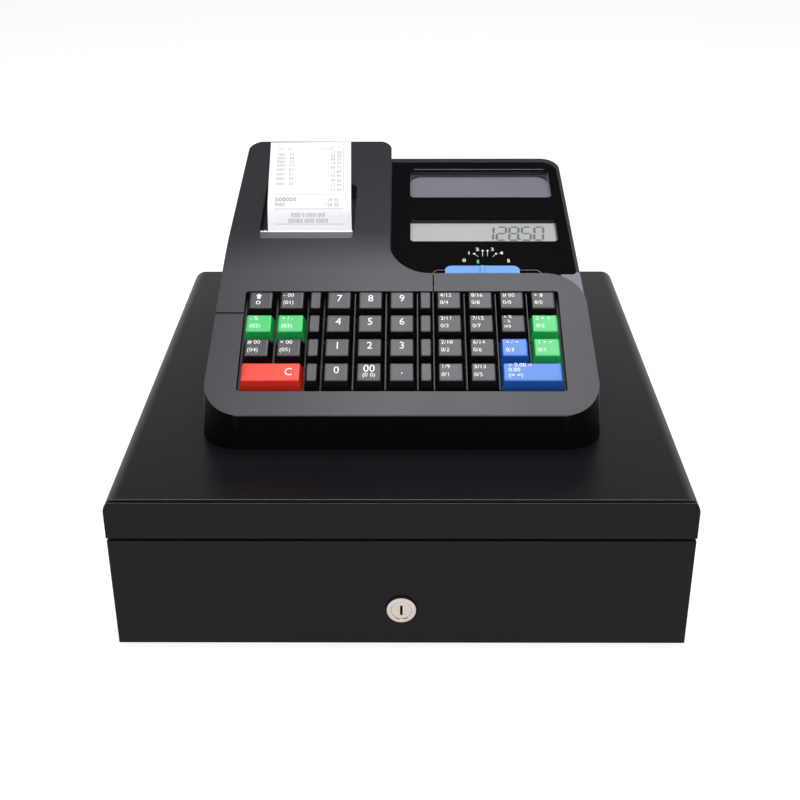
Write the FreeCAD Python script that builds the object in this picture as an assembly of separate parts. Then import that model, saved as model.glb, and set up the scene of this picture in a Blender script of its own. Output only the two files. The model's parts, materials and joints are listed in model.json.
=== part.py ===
import FreeCAD, Part
import math
import os

V = FreeCAD.Vector
os.makedirs("parts", exist_ok=True)

# Electronic cash register standing on a steel cash drawer.
# Frame in millimetres: X to the right, Y to the back, Z up. Origin on the table, under the middle of the case.

# Steel drawer case
case_width = 335.0
case_depth = 352.0
sheet = 1.2
foot_height = 5.6
front_table_gap = 5.0
front_height = 71.2
front_gap = 1.6
band_height = 26.0
lid_bend_radius = 9.0
lid_rear_flange = 22.0
groove_height = 1.2
groove_depth = 1.6
base_fit = 0.2
base_top_gap = 8.0
base_front_gap = 1.0
foot_radius = 9.0
foot_inset = 34.0

# Drawer runners, front and box
runner_height = 4.6
runner_reach = 12.0
runner_drop = 37.8
runner_gap = 0.4
drawer_sheet = 1.0
drawer_side_gap = 14.0
drawer_floor_gap = 3.2
drawer_box_height = 56.0
drawer_rear_gap = 26.0
front_side_gap = 0.35
front_return = 12.0
lock_space = 16.0

# Till insert
till_wall = 1.6
till_fit = 0.6
till_lift = 6.0
till_height = 44.0
coin_cup_depth = 88.0
coin_scoop_radius = 24.0
till_rim = 3.0
clip_pin_radius = 1.5
clip_pin_drop = 5.0
clip_pin_inset = 7.0
clip_root_half = 3.0
clip_ear_front = 4.0
clip_ear_thickness = 2.4
clip_width = 16.0
clip_thickness = 1.6
clip_arm_length = 78.0
clip_pad_length = 12.0
clip_pad_width = 42.0
clip_floor_gap = 0.5

# Drawer lock
lock_height = 29.4
lock_ring_radius = 9.3
lock_ring_proud = 2.0
lock_barrel_radius = 7.6
lock_barrel_length = 19.0
lock_plug_radius = 5.9
lock_plug_recess = 0.7
lock_clip_half = 10.6
lock_clip_thickness = 1.6
lock_cam_width = 9.0
lock_cam_thickness = 1.8
keyway_width = 1.5
keyway_height = 6.6
keyway_depth = 5.0
cam_slot_gap = 1.7

# Drawer latch at the back
latch_pivot_height = 46.0
latch_pivot_back = 8.0
latch_pin_radius = 2.0
latch_boss_half = 4.2
latch_width = 10.0
latch_arm_thickness = 2.4
latch_tooth_reach = 13.0
latch_tooth_drop = 4.6
latch_tooth_thickness = 2.4
latch_tail_reach = 4.2
strike_height = 40.4
strike_setback = 8.4
strike_thickness = 1.2
strike_width = 18.0
bracket_thickness = 2.0

# Register body
wall = 2.4
body_half_width = 121.2
body_front = 118.6
body_rear = 149.6
side_draft_share = 0.0716
front_corner_radius = 24.0
rear_corner_radius = 13.5
cover_corner_radius = 12.0
body_top_height = 130.0
front_wall_height = 22.8
bezel_angle = 25.46
cover_angle = 12.5
slope_knee_y = 5.8
knee_radius = 200.0
rear_edge_radius = 1.2
front_edge_radius = 1.6
floor_thickness = 2.6
lower_case_height = 9.0
case_seam = 0.5
seam = 0.4
skirt_height = 42.0
cover_front_y = 45.6
cover_right_x = 20.0

# Display housing and its panel
step_x = 8.2
bezel_rear_y = 14.8
step_corner_radius = 26.0
bezel_corner_radius = 26.0
bezel_corner_margin = 3.8
panel_angle = 15.5
panel_drop = 67.2
display_rear_top = 134.4
display_top_height = 106.0
divider_inset = 6.0
panel_thickness = 2.0
panel_margin = 2.2
panel_front_y = 2.5
panel_step_margin = 17.3
panel_left_gap = 0.5
bay_left = 20.6
bay_right_margin = 30.5
bay_rear_y = 1.7
bay_corner_radius = 3.0
deck_thickness = 4.4
window_left = 5.4
window_right_margin = 15.8
upper_window_rear = 121.0
upper_window_front = 85.2
lower_window_rear = 61.2
lower_window_front = 33.6
window_corner_radius = 3.0
plate_corner_radius = 9.0
window_glass = 1.2
window_fit = 0.15
lcd_depth = 4.4
plate_depth = 6.0
lcd_thickness = 3.0
lcd_overlap = 3.0
rear_window_left = 26.0
rear_window_margin = 29.2
rear_window_low = 66.0
rear_window_high = 88.0

# Mode slider
slider_left_gap = 1.2
slider_right_gap = 4.8
slider_front_gap = 0.6
slider_depth = 13.1
slider_height = 5.0
slider_lift = 0.4
slider_corner_radius = 4.6
slider_nub_width = 1.8
slider_nub_height = 0.9
slider_stem_length = 9.0
slider_stem_depth = 3.0
slider_stem_drop = 7.5
slider_slot_gap = 0.5
mode_step = 3.1
modes_left = 2
modes_right = 3

# Keyboard
row_pitch = 19.35
opening_side_margin = 21.9
opening_rim = 0.8
column_count = 10
opening_length = 81.0
opening_corner_radius = 2.0
opening_rear_y = -29.0
key_rise = 4.5
key_sink = 3.5
key_gap = 1.4
key_side_taper = 2.05
key_end_taper = 2.37
colour_key_extra = 0.5
dish_depth = 0.6
key_travel = 3.0
stem_width = 4.0
stem_length = 5.5
stem_gap = 0.3
blank_width_share = 0.5
frame_drop = 7.2
frame_thickness = 2.0
frame_margin = 1.8
rib_thickness = 0.6
rib_rise = 6.4
blank_side_taper = 1.8
frame_leg_width = 5.0
frame_leg_inset = 1.5
frame_rear_leg_inset = 5.4

# Receipt printer
recess_left_reach = 33.7
recess_right_reach = 29.8
recess_rear_y = 86.0
recess_front_y = 26.2
recess_depth = 9.5
recess_corner_radius = 4.0
mouth_width = 3.0
mouth_end_inset = 1.4
tear_bar_left_reach = 32.8
tear_bar_right_reach = 28.6
tear_bar_width = 8.5
tear_bar_proud = 0.4
tear_bar_seat = 1.4
tear_bar_angle = 14.2
tear_seat_fit = 0.05
tear_bar_corner_radius = 2.0
tear_tooth_pitch = 3.0
tear_tooth_depth = 1.0
paper_width = 56.0
paper_thickness = 0.4
paper_centre_shift = 1.2
paper_y = 27.0
paper_bend_radius = 6.0
paper_bend_drop = 1.0
paper_first_angle = 63.0
paper_first_run = 18.0
paper_curl_radius = 25.0
paper_end_angle = 25.0
paper_end_run = 63.6
platen_radius = 6.0
platen_height = 65.2
platen_shaft_radius = 2.0
platen_gap = 0.3
thumb_wheel_radius = 9.0
thumb_wheel_width = 5.0
plate_thickness = 2.0
plate_space = 63.0
mechanism_front_reach = 19.5
mechanism_rear_reach = 11.0
head_depth = 11.0
head_drop = 9.0
shaft_fit = 0.05
roll_radius = 28.5
roll_width = 57.0
roll_core_radius = 6.2
roll_y = 98.0
roll_height = 60.5
cradle_wall = 2.0
cradle_side_gap = 1.5
cradle_lift = 0.3
cradle_cheek_height = 18.0

# Hinge of the printer cover and hole for the mains lead
hinge_setback = 3.4
hinge_height = 43.7
hinge_pin_radius = 1.5
hinge_knuckle_radius = 3.0
hinge_knuckle_width = 6.0
hinge_ear_width = 3.0
hinge_gap = 0.4
hinge_left_reach = 33.2
hinge_right_reach = 26.8
cord_hole_radius = 4.2
cord_hole_x = 60.0
cord_hole_height = 24.0

# Shared allowances
cut_over = 5.0
key_depth_cut = 30.0
far = 400.0

case_half = case_width / 2
front_y = -case_depth / 2
rear_y = case_depth / 2
front_top = front_table_gap + front_height
band_low = front_top + front_gap
lid_top = band_low + band_height
lid_under = lid_top - sheet
base_half = case_half - sheet - base_fit
base_rear = rear_y - sheet - base_fit
base_floor = foot_height + sheet
base_top = lid_under - base_top_gap
box_half = base_half - sheet - drawer_side_gap
box_floor = base_floor + drawer_floor_gap
box_top = box_floor + drawer_box_height
box_front = front_y + front_return + lock_space
box_rear = rear_y - drawer_rear_gap

# Places across the register that follow its width
bezel_corner_x = body_half_width - bezel_corner_margin
opening_width = 2 * (body_half_width - opening_side_margin)
key_pitch = (opening_width - 2 * opening_rim) / column_count
window_right = body_half_width - window_right_margin
rear_window_right = body_half_width - rear_window_margin
panel_step_x = body_half_width - panel_step_margin
bay_right = body_half_width - bay_right_margin
slider_travel = (modes_left + modes_right) * mode_step
slider_width = bay_right - bay_left - slider_travel - slider_left_gap - slider_right_gap
slider_centre_x = bay_left + slider_left_gap + modes_left * mode_step + slider_width / 2
paper_centre_x = body_half_width / 2 + paper_centre_shift
recess_left = paper_centre_x + recess_left_reach
recess_right = paper_centre_x - recess_right_reach
tear_bar_left = paper_centre_x + tear_bar_left_reach
tear_bar_right = paper_centre_x - tear_bar_right_reach
hinge_y = body_rear + hinge_setback
hinge_places = (-paper_centre_x - hinge_left_reach, -paper_centre_x + hinge_right_reach)


def save(name, *solids):
    shapes = []
    for shape in solids:
        shapes.extend(shape.Solids)
    whole = shapes[0] if len(shapes) == 1 else Part.makeCompound(shapes)
    whole.exportStep(os.path.join("parts", name + ".step"))
    return whole


def block(x0, x1, y0, y1, z0, z1):
    return Part.makeBox(x1 - x0, y1 - y0, z1 - z0, V(x0, y0, z0))


def rod(radius, start, end):
    way = end - start
    return Part.makeCylinder(radius, way.Length, start, way)


def outline(corners):
    """Closed wire through (point, radius) corners, with tangent arcs where the radius isn't zero."""
    edges = []
    stops = []
    count = len(corners)
    for i, (point, radius) in enumerate(corners):
        if not radius:
            stops.append((point, point, None))
            continue
        before = (corners[i - 1][0] - point).normalize()
        after = (corners[(i + 1) % count][0] - point).normalize()
        half = before.getAngle(after) / 2
        reach = radius / math.tan(half)
        middle = (before + after).normalize() * (radius / math.sin(half) - radius)
        stops.append((point + before * reach, point + after * reach, point + middle))
    for i, (start, end, middle) in enumerate(stops):
        if middle is not None:
            edges.append(Part.Arc(start, middle, end).toShape())
        follow = stops[(i + 1) % count][0]
        if (follow - end).Length > 1e-6:
            edges.append(Part.LineSegment(end, follow).toShape())
    return Part.Wire(edges)


def plate(corners, way):
    return Part.Face(outline(corners)).extrude(way)


def plan_plate(points, z0, z1):
    return plate([(V(x, y, z0), r) for x, y, r in points], V(0, 0, z1 - z0))


def side_plate(points, x0, x1):
    return plate([(V(x0, y, z), r) for y, z, r in points], V(x1 - x0, 0, 0))


def front_plate(points, y0, y1):
    return plate([(V(x, y0, z), r) for x, z, r in points], V(0, y1 - y0, 0))


def frustum(lower, upper):
    """Solid with flat sides between two outlines of equally many corners, both counted anticlockwise from above."""
    faces = [Part.Face(Part.makePolygon(ring + ring[:1])) for ring in (lower[::-1], upper)]
    for i, corner in enumerate(lower):
        k = (i + 1) % len(lower)
        faces.append(Part.Face(Part.makePolygon([corner, lower[k], upper[k], upper[i], corner])))
    return Part.makeSolid(Part.makeShell(faces))


def bent_sheet(points, thickness, x0, x1):
    """Thin sheet along (y, z, radius) points, bent to the radius at each of them, seen from the side."""
    spots = [V(0, y, z) for y, z, _ in points]
    ways = [(b - a).normalize() for a, b in zip(spots, spots[1:])]
    sides = []
    for side in (1, -1):
        row = []
        for i, (spot, (_, _, radius)) in enumerate(zip(spots, points)):
            before, after = ways[max(i - 1, 0)], ways[min(i, len(ways) - 1)]
            normals = V(0, -before.z, before.y) + V(0, -after.z, after.y)
            offset = normals * (side * thickness / (normals.Length ** 2))
            place = spot + offset
            row.append((place.y, place.z, radius + side * thickness / 2 if radius else 0))
        sides.append(row)
    return side_plate(sides[0] + sides[1][::-1], x0, x1)


def fuse(first, *others):
    return first.fuse(list(others)).removeSplitter()


# Drawer case

def make_case_cover():
    """Folded lid: rounded side bends, side skirts, a front band under a groove, and a rear flange."""
    def arch(inset, low):
        half = case_half - inset
        radius = lid_bend_radius - inset
        return [(-half, low, 0), (-half, lid_top - inset, radius), (half, lid_top - inset, radius), (half, low, 0)]

    skin = front_plate(arch(0, band_low), front_y, rear_y)
    skin = skin.cut(front_plate(arch(sheet, band_low - cut_over), front_y - cut_over, rear_y + cut_over))
    band = front_plate(arch(0, band_low), front_y, front_y + groove_depth + sheet)
    band_back = front_y + sheet
    hollow = block(-case_half + lid_bend_radius, case_half - lid_bend_radius,
                   band_back, front_y + far, band_low - cut_over, lid_top - sheet - groove_height - sheet)
    groove = block(-case_half - cut_over, case_half + cut_over, front_y - cut_over, front_y + groove_depth,
                   lid_top - sheet - groove_height, lid_top - sheet)
    rear = front_plate(arch(0, lid_top - lid_rear_flange), rear_y - sheet, rear_y)
    return fuse(skin, band.cut(hollow), rear).cut(groove)


def runner(side):
    """C-shaped channel on a case wall, open towards the drawer."""
    top = lid_top - runner_drop
    wall_x = side * (base_half - sheet)
    reach_x = wall_x - side * runner_reach
    x0, x1 = sorted((wall_x, reach_x))
    y0 = front_y + front_return + 2 * base_front_gap
    y1 = box_rear
    bar = block(x0, x1, y0, y1, top - runner_height, top)
    slot_x = wall_x - side * sheet
    s0, s1 = sorted((slot_x, reach_x - side * cut_over))
    return bar.cut(block(s0, s1, y0 - cut_over, y1 + cut_over, top - runner_height + sheet, top - sheet))


def make_case_base():
    """Folded base tray with runners, latch bracket with its pin, and a slot for the lock cam."""
    y0 = front_y + front_return + base_front_gap
    tray = block(-base_half, base_half, y0, base_rear, foot_height, base_top)
    tray = tray.cut(block(-base_half + sheet, base_half - sheet, y0 - cut_over, base_rear - sheet,
                          base_floor, base_top + cut_over))
    slot_half = lock_barrel_radius + lock_cam_width
    slot_y = lock_cam_front() - cam_slot_gap
    tray = tray.cut(block(-slot_half, slot_half, slot_y, slot_y + lock_cam_thickness + 2 * cam_slot_gap,
                          foot_height - cut_over, base_floor + cut_over))
    pivot = latch_pivot()
    bracket_y = pivot.y - latch_boss_half
    plates = []
    for side in (-1, 1):
        near = side * (latch_width / 2 + runner_gap)
        x0, x1 = sorted((near, near + side * bracket_thickness))
        plates.append(block(x0, x1, bracket_y, base_rear - sheet, base_floor, pivot.z + latch_boss_half))
    reach = latch_width / 2 + runner_gap + bracket_thickness
    pin = rod(latch_pin_radius, V(-reach, pivot.y, pivot.z), V(reach, pivot.y, pivot.z))
    return fuse(tray, runner(-1), runner(1), pin, *plates)


def foot_places():
    x = base_half - foot_inset
    return [(sx * x, sy * (rear_y - foot_inset)) for sx in (-1, 1) for sy in (-1, 1)]


def make_feet():
    """Round rubber pads stuck under the base tray."""
    return [rod(foot_radius, V(x, y, 0), V(x, y, foot_height)) for x, y in foot_places()]


# Drawer

def make_drawer_box():
    """Front panel folded back on its four edges, an open box behind it, top flanges that run in the channels."""
    panel_half = case_half - front_side_gap
    back = front_y + front_return
    panel = block(-panel_half, panel_half, front_y, back, front_table_gap, front_top)
    panel = panel.cut(block(-panel_half + sheet, panel_half - sheet, front_y + sheet, back + cut_over,
                            front_table_gap + sheet, front_top - sheet))
    tray = block(-box_half, box_half, box_front, box_rear, box_floor, box_top)
    tray = tray.cut(block(-box_half + drawer_sheet, box_half - drawer_sheet, box_front + drawer_sheet,
                          box_rear - drawer_sheet, box_floor + drawer_sheet, box_top + cut_over))
    parts = [tray]
    flange_z = lid_top - runner_drop - runner_height + sheet + runner_gap
    flange_top = lid_top - runner_drop - sheet - runner_gap
    flange_x = base_half - 2 * sheet - runner_gap
    for side in (-1, 1):
        x0, x1 = sorted((side * box_half, side * (box_half - drawer_sheet)))
        parts.append(block(x0, x1, front_y + sheet, box_front + drawer_sheet, box_floor, box_top))
        f0, f1 = sorted((side * (box_half - drawer_sheet), side * flange_x))
        parts.append(block(f0, f1, back + 2 * base_front_gap, box_rear, flange_z, flange_top))
    parts.append(make_strike())
    body = fuse(panel, *parts)
    hole = rod(lock_barrel_radius + base_fit, V(0, front_y - cut_over, lock_height), V(0, back, lock_height))
    return body.cut(hole)


def latch_pivot():
    return V(0, base_rear - sheet - latch_pivot_back, latch_pivot_height)


def make_strike():
    """Upright lip on a tongue behind the drawer, which the latch tooth drops in front of."""
    half = strike_width / 2
    y1 = box_rear + strike_setback + strike_thickness
    tongue_top = strike_height - latch_tooth_drop
    tongue = block(-half, half, box_rear - drawer_sheet, y1, tongue_top - strike_thickness, tongue_top)
    lip = block(-half, half, y1 - strike_thickness, y1, tongue_top - strike_thickness, strike_height)
    return fuse(tongue, lip)


def make_drawer_latch():
    """Latch lever in its released position, with its tooth above the strike."""
    pivot = latch_pivot()
    half = latch_width / 2
    boss = block(-half, half, pivot.y - latch_boss_half, pivot.y + latch_boss_half,
                 pivot.z - latch_boss_half, pivot.z + latch_boss_half)
    tip_y = pivot.y - latch_tooth_reach
    arm = block(-half, half, tip_y, pivot.y, pivot.z - latch_arm_thickness / 2, pivot.z + latch_arm_thickness / 2)
    tooth = block(-half, half, tip_y, tip_y + latch_tooth_thickness, pivot.z - latch_tooth_drop, pivot.z)
    tail = block(-half, half, pivot.y, pivot.y + latch_tail_reach + latch_arm_thickness / 2,
                 pivot.z, pivot.z + latch_arm_thickness)
    bore = rod(latch_pin_radius + shaft_fit, V(-half - cut_over, pivot.y, pivot.z), V(half + cut_over, pivot.y, pivot.z))
    return fuse(boss, arm, tooth, tail).cut(bore)


def lock_cam_front():
    return front_y + lock_barrel_length + sheet


def make_lock_body():
    """Barrel with a round face ring outside the front panel, and the horseshoe clip that holds it inside."""
    face = V(0, front_y - lock_ring_proud, lock_height)
    ring = rod(lock_ring_radius, face, V(0, front_y, lock_height))
    barrel = rod(lock_barrel_radius, V(0, front_y - sheet, lock_height),
                 V(0, front_y + lock_barrel_length, lock_height))
    body = fuse(ring, barrel)
    bore = rod(lock_plug_radius + shaft_fit, face - V(0, cut_over, 0), V(0, front_y + far, lock_height))
    half, slot = lock_clip_half, lock_barrel_radius + shaft_fit
    low, high = lock_height - half, lock_height + half
    clip = front_plate([(-half, low, 0), (-slot, low, 0), (-slot, lock_height + slot, 0), (slot, lock_height + slot, 0),
                        (slot, low, 0), (half, low, 0), (half, high, 0), (-half, high, 0)],
                       front_y + sheet, front_y + sheet + lock_clip_thickness)
    return body.cut(bore), clip


def make_lock_plug():
    """Turning plug with its keyway, and the cam behind. Unlocked, the cam points sideways."""
    start = front_y - lock_ring_proud + lock_plug_recess
    cam_y = lock_cam_front()
    plug = rod(lock_plug_radius, V(0, start, lock_height), V(0, cam_y, lock_height))
    half = keyway_width / 2
    keyway = block(-half, half, start - cut_over, start + keyway_depth,
                   lock_height - keyway_height / 2, lock_height + keyway_height / 2)
    reach = lock_height - foot_height - base_fit
    half_width = lock_cam_width / 2
    cam = block(-half_width, reach, cam_y, cam_y + lock_cam_thickness,
                lock_height - half_width, lock_height + half_width)
    return fuse(plug.cut(keyway), cam)


# Till

till_half = box_half - drawer_sheet - till_fit
till_front = box_front + drawer_sheet + till_fit
till_rear = box_rear - drawer_sheet - till_fit
till_low = box_floor + drawer_sheet + till_lift
till_top = till_low + till_height
bill_front = till_front + coin_cup_depth
bill_count = 4
coin_count = 5


def compartment(index, count):
    """Left and right inner wall of one of `count` compartments across the till."""
    inner = 2 * till_half - (count + 1) * till_wall
    width = inner / count
    x0 = -till_half + till_wall + index * (width + till_wall)
    return x0, x0 + width


def clip_hinge(index):
    x0, x1 = compartment(index, bill_count)
    return V((x0 + x1) / 2, till_rear - clip_pin_inset, till_top - clip_pin_drop)


def make_till_insert():
    """Moulded tray: scooped coin cups in front, bill bays behind, notched ears for the clips, legs to the floor."""
    tray = block(-till_half, till_half, till_front, till_rear, till_low, till_top)
    floor_z = till_low + till_wall
    for index in range(coin_count):
        x0, x1 = compartment(index, coin_count)
        scoop = side_plate([(till_front + till_wall, floor_z, coin_scoop_radius),
                            (bill_front - till_wall, floor_z, 0),
                            (bill_front - till_wall, till_top + cut_over, 0),
                            (till_front + till_wall, till_top + cut_over, 0)], x0, x1)
        tray = tray.cut(scoop)
    additions = []
    for index in range(bill_count):
        x0, x1 = compartment(index, bill_count)
        tray = tray.cut(block(x0, x1, bill_front, till_rear - till_wall, floor_z, till_top + cut_over))
        pin = clip_hinge(index)
        ear_in = clip_width / 2 + runner_gap
        for side in (-1, 1):
            e0, e1 = sorted((pin.x + side * ear_in, pin.x + side * (ear_in + clip_ear_thickness)))
            additions.append(block(e0, e1, pin.y - clip_ear_front, till_rear - till_wall, till_low, till_top))
    legs = [block(x - till_rim, x + till_rim, y - till_rim, y + till_rim, box_floor + drawer_sheet, till_low)
            for x in (-till_half + till_rim, 0, till_half - till_rim)
            for y in (till_front + till_rim, bill_front, till_rear - till_rim)]
    body = fuse(tray, *additions, *legs)
    for index in range(bill_count):
        pin = clip_hinge(index)
        reach = clip_width / 2 + runner_gap + clip_ear_thickness + cut_over
        grip = clip_pin_radius + shaft_fit
        body = body.cut(block(pin.x - reach, pin.x + reach, pin.y - grip, pin.y + grip, pin.z - grip,
                              till_top + cut_over))
    return body


def clip_rest_angle():
    drop = clip_hinge(0).z - (till_low + till_wall + clip_floor_gap + clip_thickness)
    return math.degrees(math.asin(drop / clip_arm_length))


def make_bill_clip(index):
    """Sprung arm that lies on the notes: root with its pins, sloping arm, flat pad."""
    pin = clip_hinge(index)
    half = clip_width / 2
    reach = half + runner_gap + clip_ear_thickness
    root = block(pin.x - half, pin.x + half, pin.y - clip_root_half, pin.y + clip_root_half,
                 pin.z - clip_root_half, pin.z + clip_root_half)
    pins = rod(clip_pin_radius, pin - V(reach, 0, 0), pin + V(reach, 0, 0))
    lean = math.radians(clip_rest_angle())
    floor_z = till_low + till_wall + clip_floor_gap
    tip_y = pin.y - clip_arm_length * math.cos(lean)
    rise = clip_thickness / math.cos(lean)
    arm = side_plate([(pin.y, pin.z, 0), (pin.y, pin.z - rise, 0), (tip_y, floor_z, 0), (tip_y, floor_z + rise, 0)],
                     pin.x - half / 2, pin.x + half / 2)
    pad = block(pin.x - clip_pad_width / 2, pin.x + clip_pad_width / 2, tip_y - clip_pad_length, tip_y + rise,
                floor_z, floor_z + clip_thickness)
    return fuse(root, pins, arm, pad)


# Register body

bezel_slope = math.tan(math.radians(bezel_angle))
cover_slope = math.tan(math.radians(cover_angle))
panel_slope = math.tan(math.radians(panel_angle))
wall_top = lid_top + front_wall_height
knee_z = wall_top + bezel_slope * (body_front + slope_knee_y)
panel_zero = lid_top + panel_drop
floor_top = lid_top + floor_thickness
part_z = lid_top + lower_case_height
skirt_z = lid_top + skirt_height


def half_width(z):
    return body_half_width - side_draft_share * (z - lid_top)


def bezel_height(y):
    return wall_top + bezel_slope * (y + body_front)


def cover_height(y):
    return knee_z + cover_slope * (y - slope_knee_y)


def panel_height(y):
    return panel_zero + panel_slope * y


def tower(inset, z0, z1, rear_top):
    """Drafted block between two heights, with rounded upright corners."""
    def ring(z, rear):
        half = half_width(z) - inset
        front = -body_front + inset
        return [V(-half, front, z), V(half, front, z), V(half, rear - inset, z), V(-half, rear - inset, z)]

    solid = frustum(ring(z0, body_rear), ring(z1, rear_top))
    for side, radius in ((-1, front_corner_radius), (1, rear_corner_radius)):
        upright = [e for e in solid.Edges if e.BoundBox.ZLength > (z1 - z0) / 2
                   and side * e.CenterOfMass.y > body_front / 2 and abs(e.CenterOfMass.x) > body_half_width / 2]
        solid = solid.makeFillet(radius - inset, upright).Solids[0]
    return solid


def body_tower(inset):
    return tower(inset, lid_top, lid_top + body_top_height, body_rear)


def display_tower(inset):
    return tower(inset, part_z, lid_top + display_top_height, display_rear_top)


def under_cover(inset):
    """Everything below the bezel and printer cover surface, drawn from the side."""
    down_bezel = inset / math.cos(math.radians(bezel_angle))
    down_cover = inset / math.cos(math.radians(cover_angle))
    front = -body_front + inset
    knee_y = slope_knee_y + (down_bezel - down_cover) / (bezel_slope - cover_slope)
    low = lid_top - cut_over
    back = body_rear - inset
    return side_plate([(front, low, 0), (front, bezel_height(front) - down_bezel, front_edge_radius),
                       (knee_y, cover_height(knee_y) - down_cover, knee_radius - inset),
                       (back, cover_height(back) - down_cover, rear_edge_radius), (back, low, 0)], -far, far)


def panel_band(shallow, deep):
    """Layer of the display housing between two depths below its sloping surface."""
    cosine = math.cos(math.radians(panel_angle))
    high, low = shallow / cosine, deep / cosine
    front, rear = -body_front, 2 * body_rear
    return side_plate([(front, panel_height(front) - low, 0), (front, panel_height(front) - high, 0),
                       (rear, panel_height(rear) - high, 0), (rear, panel_height(rear) - low, 0)], -far, far)


def display_well(grow, around_cover=False):
    """Plan of the space above the display housing, right of the printer cover and behind the bezel."""
    x0 = -step_x - grow
    y0 = -bezel_rear_y - grow
    corner_y = -bezel_rear_y - bezel_corner_radius
    start = [(x0, far, 0)]
    if around_cover:
        rear, radius = body_rear - grow, cover_corner_radius - grow
        start = [(x0 - 2 * radius, far, 0), (x0 - 2 * radius, rear, 0), (x0, rear, radius)]
    return plan_plate(start + [(x0, y0, step_corner_radius + grow),
                               (bezel_corner_x - grow, y0, bezel_corner_radius - grow),
                               (bezel_corner_x - grow, corner_y, 0), (far, corner_y, 0), (far, far, 0)],
                      lid_top - cut_over, lid_top + far)


def display_space(gap):
    """Outer form of the display housing, grown on every side by `gap`."""
    return display_tower(-gap).common(panel_band(-gap, far)).common(display_well(wall + divider_inset + gap))


def cover_zone(gap):
    """Space of the lift-off printer cover, drawn back on every side by `gap`."""
    zone = block(-far, cover_right_x - gap, -cover_front_y + gap, far, skirt_z + gap, lid_top + far)
    return zone.cut(display_space(gap))


# Keyboard plane: origin at the front edge of the opening, s up the slope, h out of it
key_lean = math.radians(bezel_angle)
key_up = V(0, math.cos(key_lean), math.sin(key_lean))
key_out = V(0, -math.sin(key_lean), math.cos(key_lean))
opening_front_y = opening_rear_y - opening_length * math.cos(key_lean)
key_origin = V(0, opening_front_y, bezel_height(opening_front_y))
row_count = 4
first_row_s = (opening_length - row_count * row_pitch) / 2
first_column_x = -column_count * key_pitch / 2


def on_keys(x, s, h):
    return key_origin + V(x, 0, 0) + key_up * s + key_out * h


def key_outline(x0, x1, s0, s1, h, rounding):
    return outline([(on_keys(x, s, h), rounding) for x, s in ((x0, s0), (x1, s0), (x1, s1), (x0, s1))])


def cap_corners(x0, x1, s0, s1, h):
    return [on_keys(x, s, h) for x, s in ((x0, s0), (x1, s0), (x1, s1), (x0, s1))]


def key_block(x0, x1, s0, s1, h0, h1, rounding=0):
    return Part.Face(key_outline(x0, x1, s0, s1, h0, rounding)).extrude(key_out * (h1 - h0))


def keyboard_opening(grow, h0, h1, rounding=0):
    half = opening_width / 2 + grow
    return key_block(-half, half, -grow, opening_length + grow, h0, h1, rounding)


# Keys: name, first column, columns wide, row counted from the back
digit_rows = (("7", "8", "9"), ("4", "5", "6"), ("1", "2", "3"), ("0", "00", "point"))
digit_first_column = 2 + blank_width_share
blank_columns = (2, digit_first_column + 3)
department_first_column = digit_first_column + 3 + blank_width_share
coloured_keys = ("percent", "refund", "clear", "check", "charge", "subtotal", "total")


def key_table():
    keys = [("feed", 0, 1, 0), ("void", 1, 1, 0), ("percent", 0, 1, 1), ("refund", 1, 1, 1),
            ("clerk", 0, 1, 2), ("quantity", 1, 1, 2), ("clear", 0, 2, 3)]
    for row, names in enumerate(digit_rows):
        keys += [("digit_" + name, digit_first_column + i, 1, row) for i, name in enumerate(names)]
    for row in range(row_count):
        keys += [("dept_%d" % (row_count - row + i * row_count), department_first_column + i, 1, row)
                 for i in range(2)]
    last = department_first_column + 2
    keys += [("plu", last, 1, 0), ("dept_shift", last + 1, 1, 0), ("tax_shift", last, 1, 1), ("check", last + 1, 1, 1),
             ("subtotal", last, 1, 2), ("charge", last + 1, 1, 2), ("total", last, 2, 3)]
    return keys


def key_cell(column, wide, row):
    x0 = first_column_x + column * key_pitch
    s0 = first_row_s + (row_count - 1 - row) * row_pitch
    half_gap = key_gap / 2
    return x0 + half_gap, x0 + wide * key_pitch - half_gap, s0 + half_gap, s0 + row_pitch - half_gap


def make_cap(x0, x1, s0, s1, side_taper):
    """Tapered key cap with a hollow running front to back across its face."""
    base = cap_corners(x0, x1, s0, s1, -key_sink)
    face = cap_corners(x0 + side_taper, x1 - side_taper, s0 + key_end_taper, s1 - key_end_taper, key_rise)
    cap = frustum(base, face)
    half = (x1 - x0) / 2 - side_taper
    radius = (half ** 2 + dish_depth ** 2) / (2 * dish_depth)
    middle = (x0 + x1) / 2
    dish = rod(radius, on_keys(middle, s0 - cut_over, key_rise - dish_depth + radius),
               on_keys(middle, s1 + cut_over, key_rise - dish_depth + radius))
    return cap.cut(dish)


def stem_places(column, wide, row):
    x0, x1, s0, s1 = key_cell(column, wide, row)
    middle = (s0 + s1) / 2
    if wide == 1:
        return [((x0 + x1) / 2, middle)]
    return [((x0 + x1) / 2 - key_pitch / 2, middle), ((x0 + x1) / 2 + key_pitch / 2, middle)]


def make_key(name, column, wide, row):
    taper = key_side_taper - (colour_key_extra if name in coloured_keys else 0)
    cap = make_cap(*key_cell(column, wide, row), taper)
    half = stem_width / 2
    stems = [key_block(x - half, x + half, s - half, s + half, -key_sink - stem_length, -key_sink)
             for x, s in stem_places(column, wide, row)]
    return fuse(cap, *stems)


def make_blank_caps():
    """Narrow fixed caps between the key groups, each on a square peg that stands on the key frame."""
    caps = []
    for column in blank_columns:
        for row in range(row_count):
            x0, x1, s0, s1 = key_cell(column, blank_width_share, row)
            peg_x, peg_s, half = (x0 + x1) / 2, (s0 + s1) / 2, stem_width / 2
            peg = key_block(peg_x - half, peg_x + half, peg_s - half, peg_s + half, -frame_drop, -key_sink)
            caps.append(fuse(make_cap(x0, x1, s0, s1, blank_side_taper), peg))
    return caps


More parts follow.
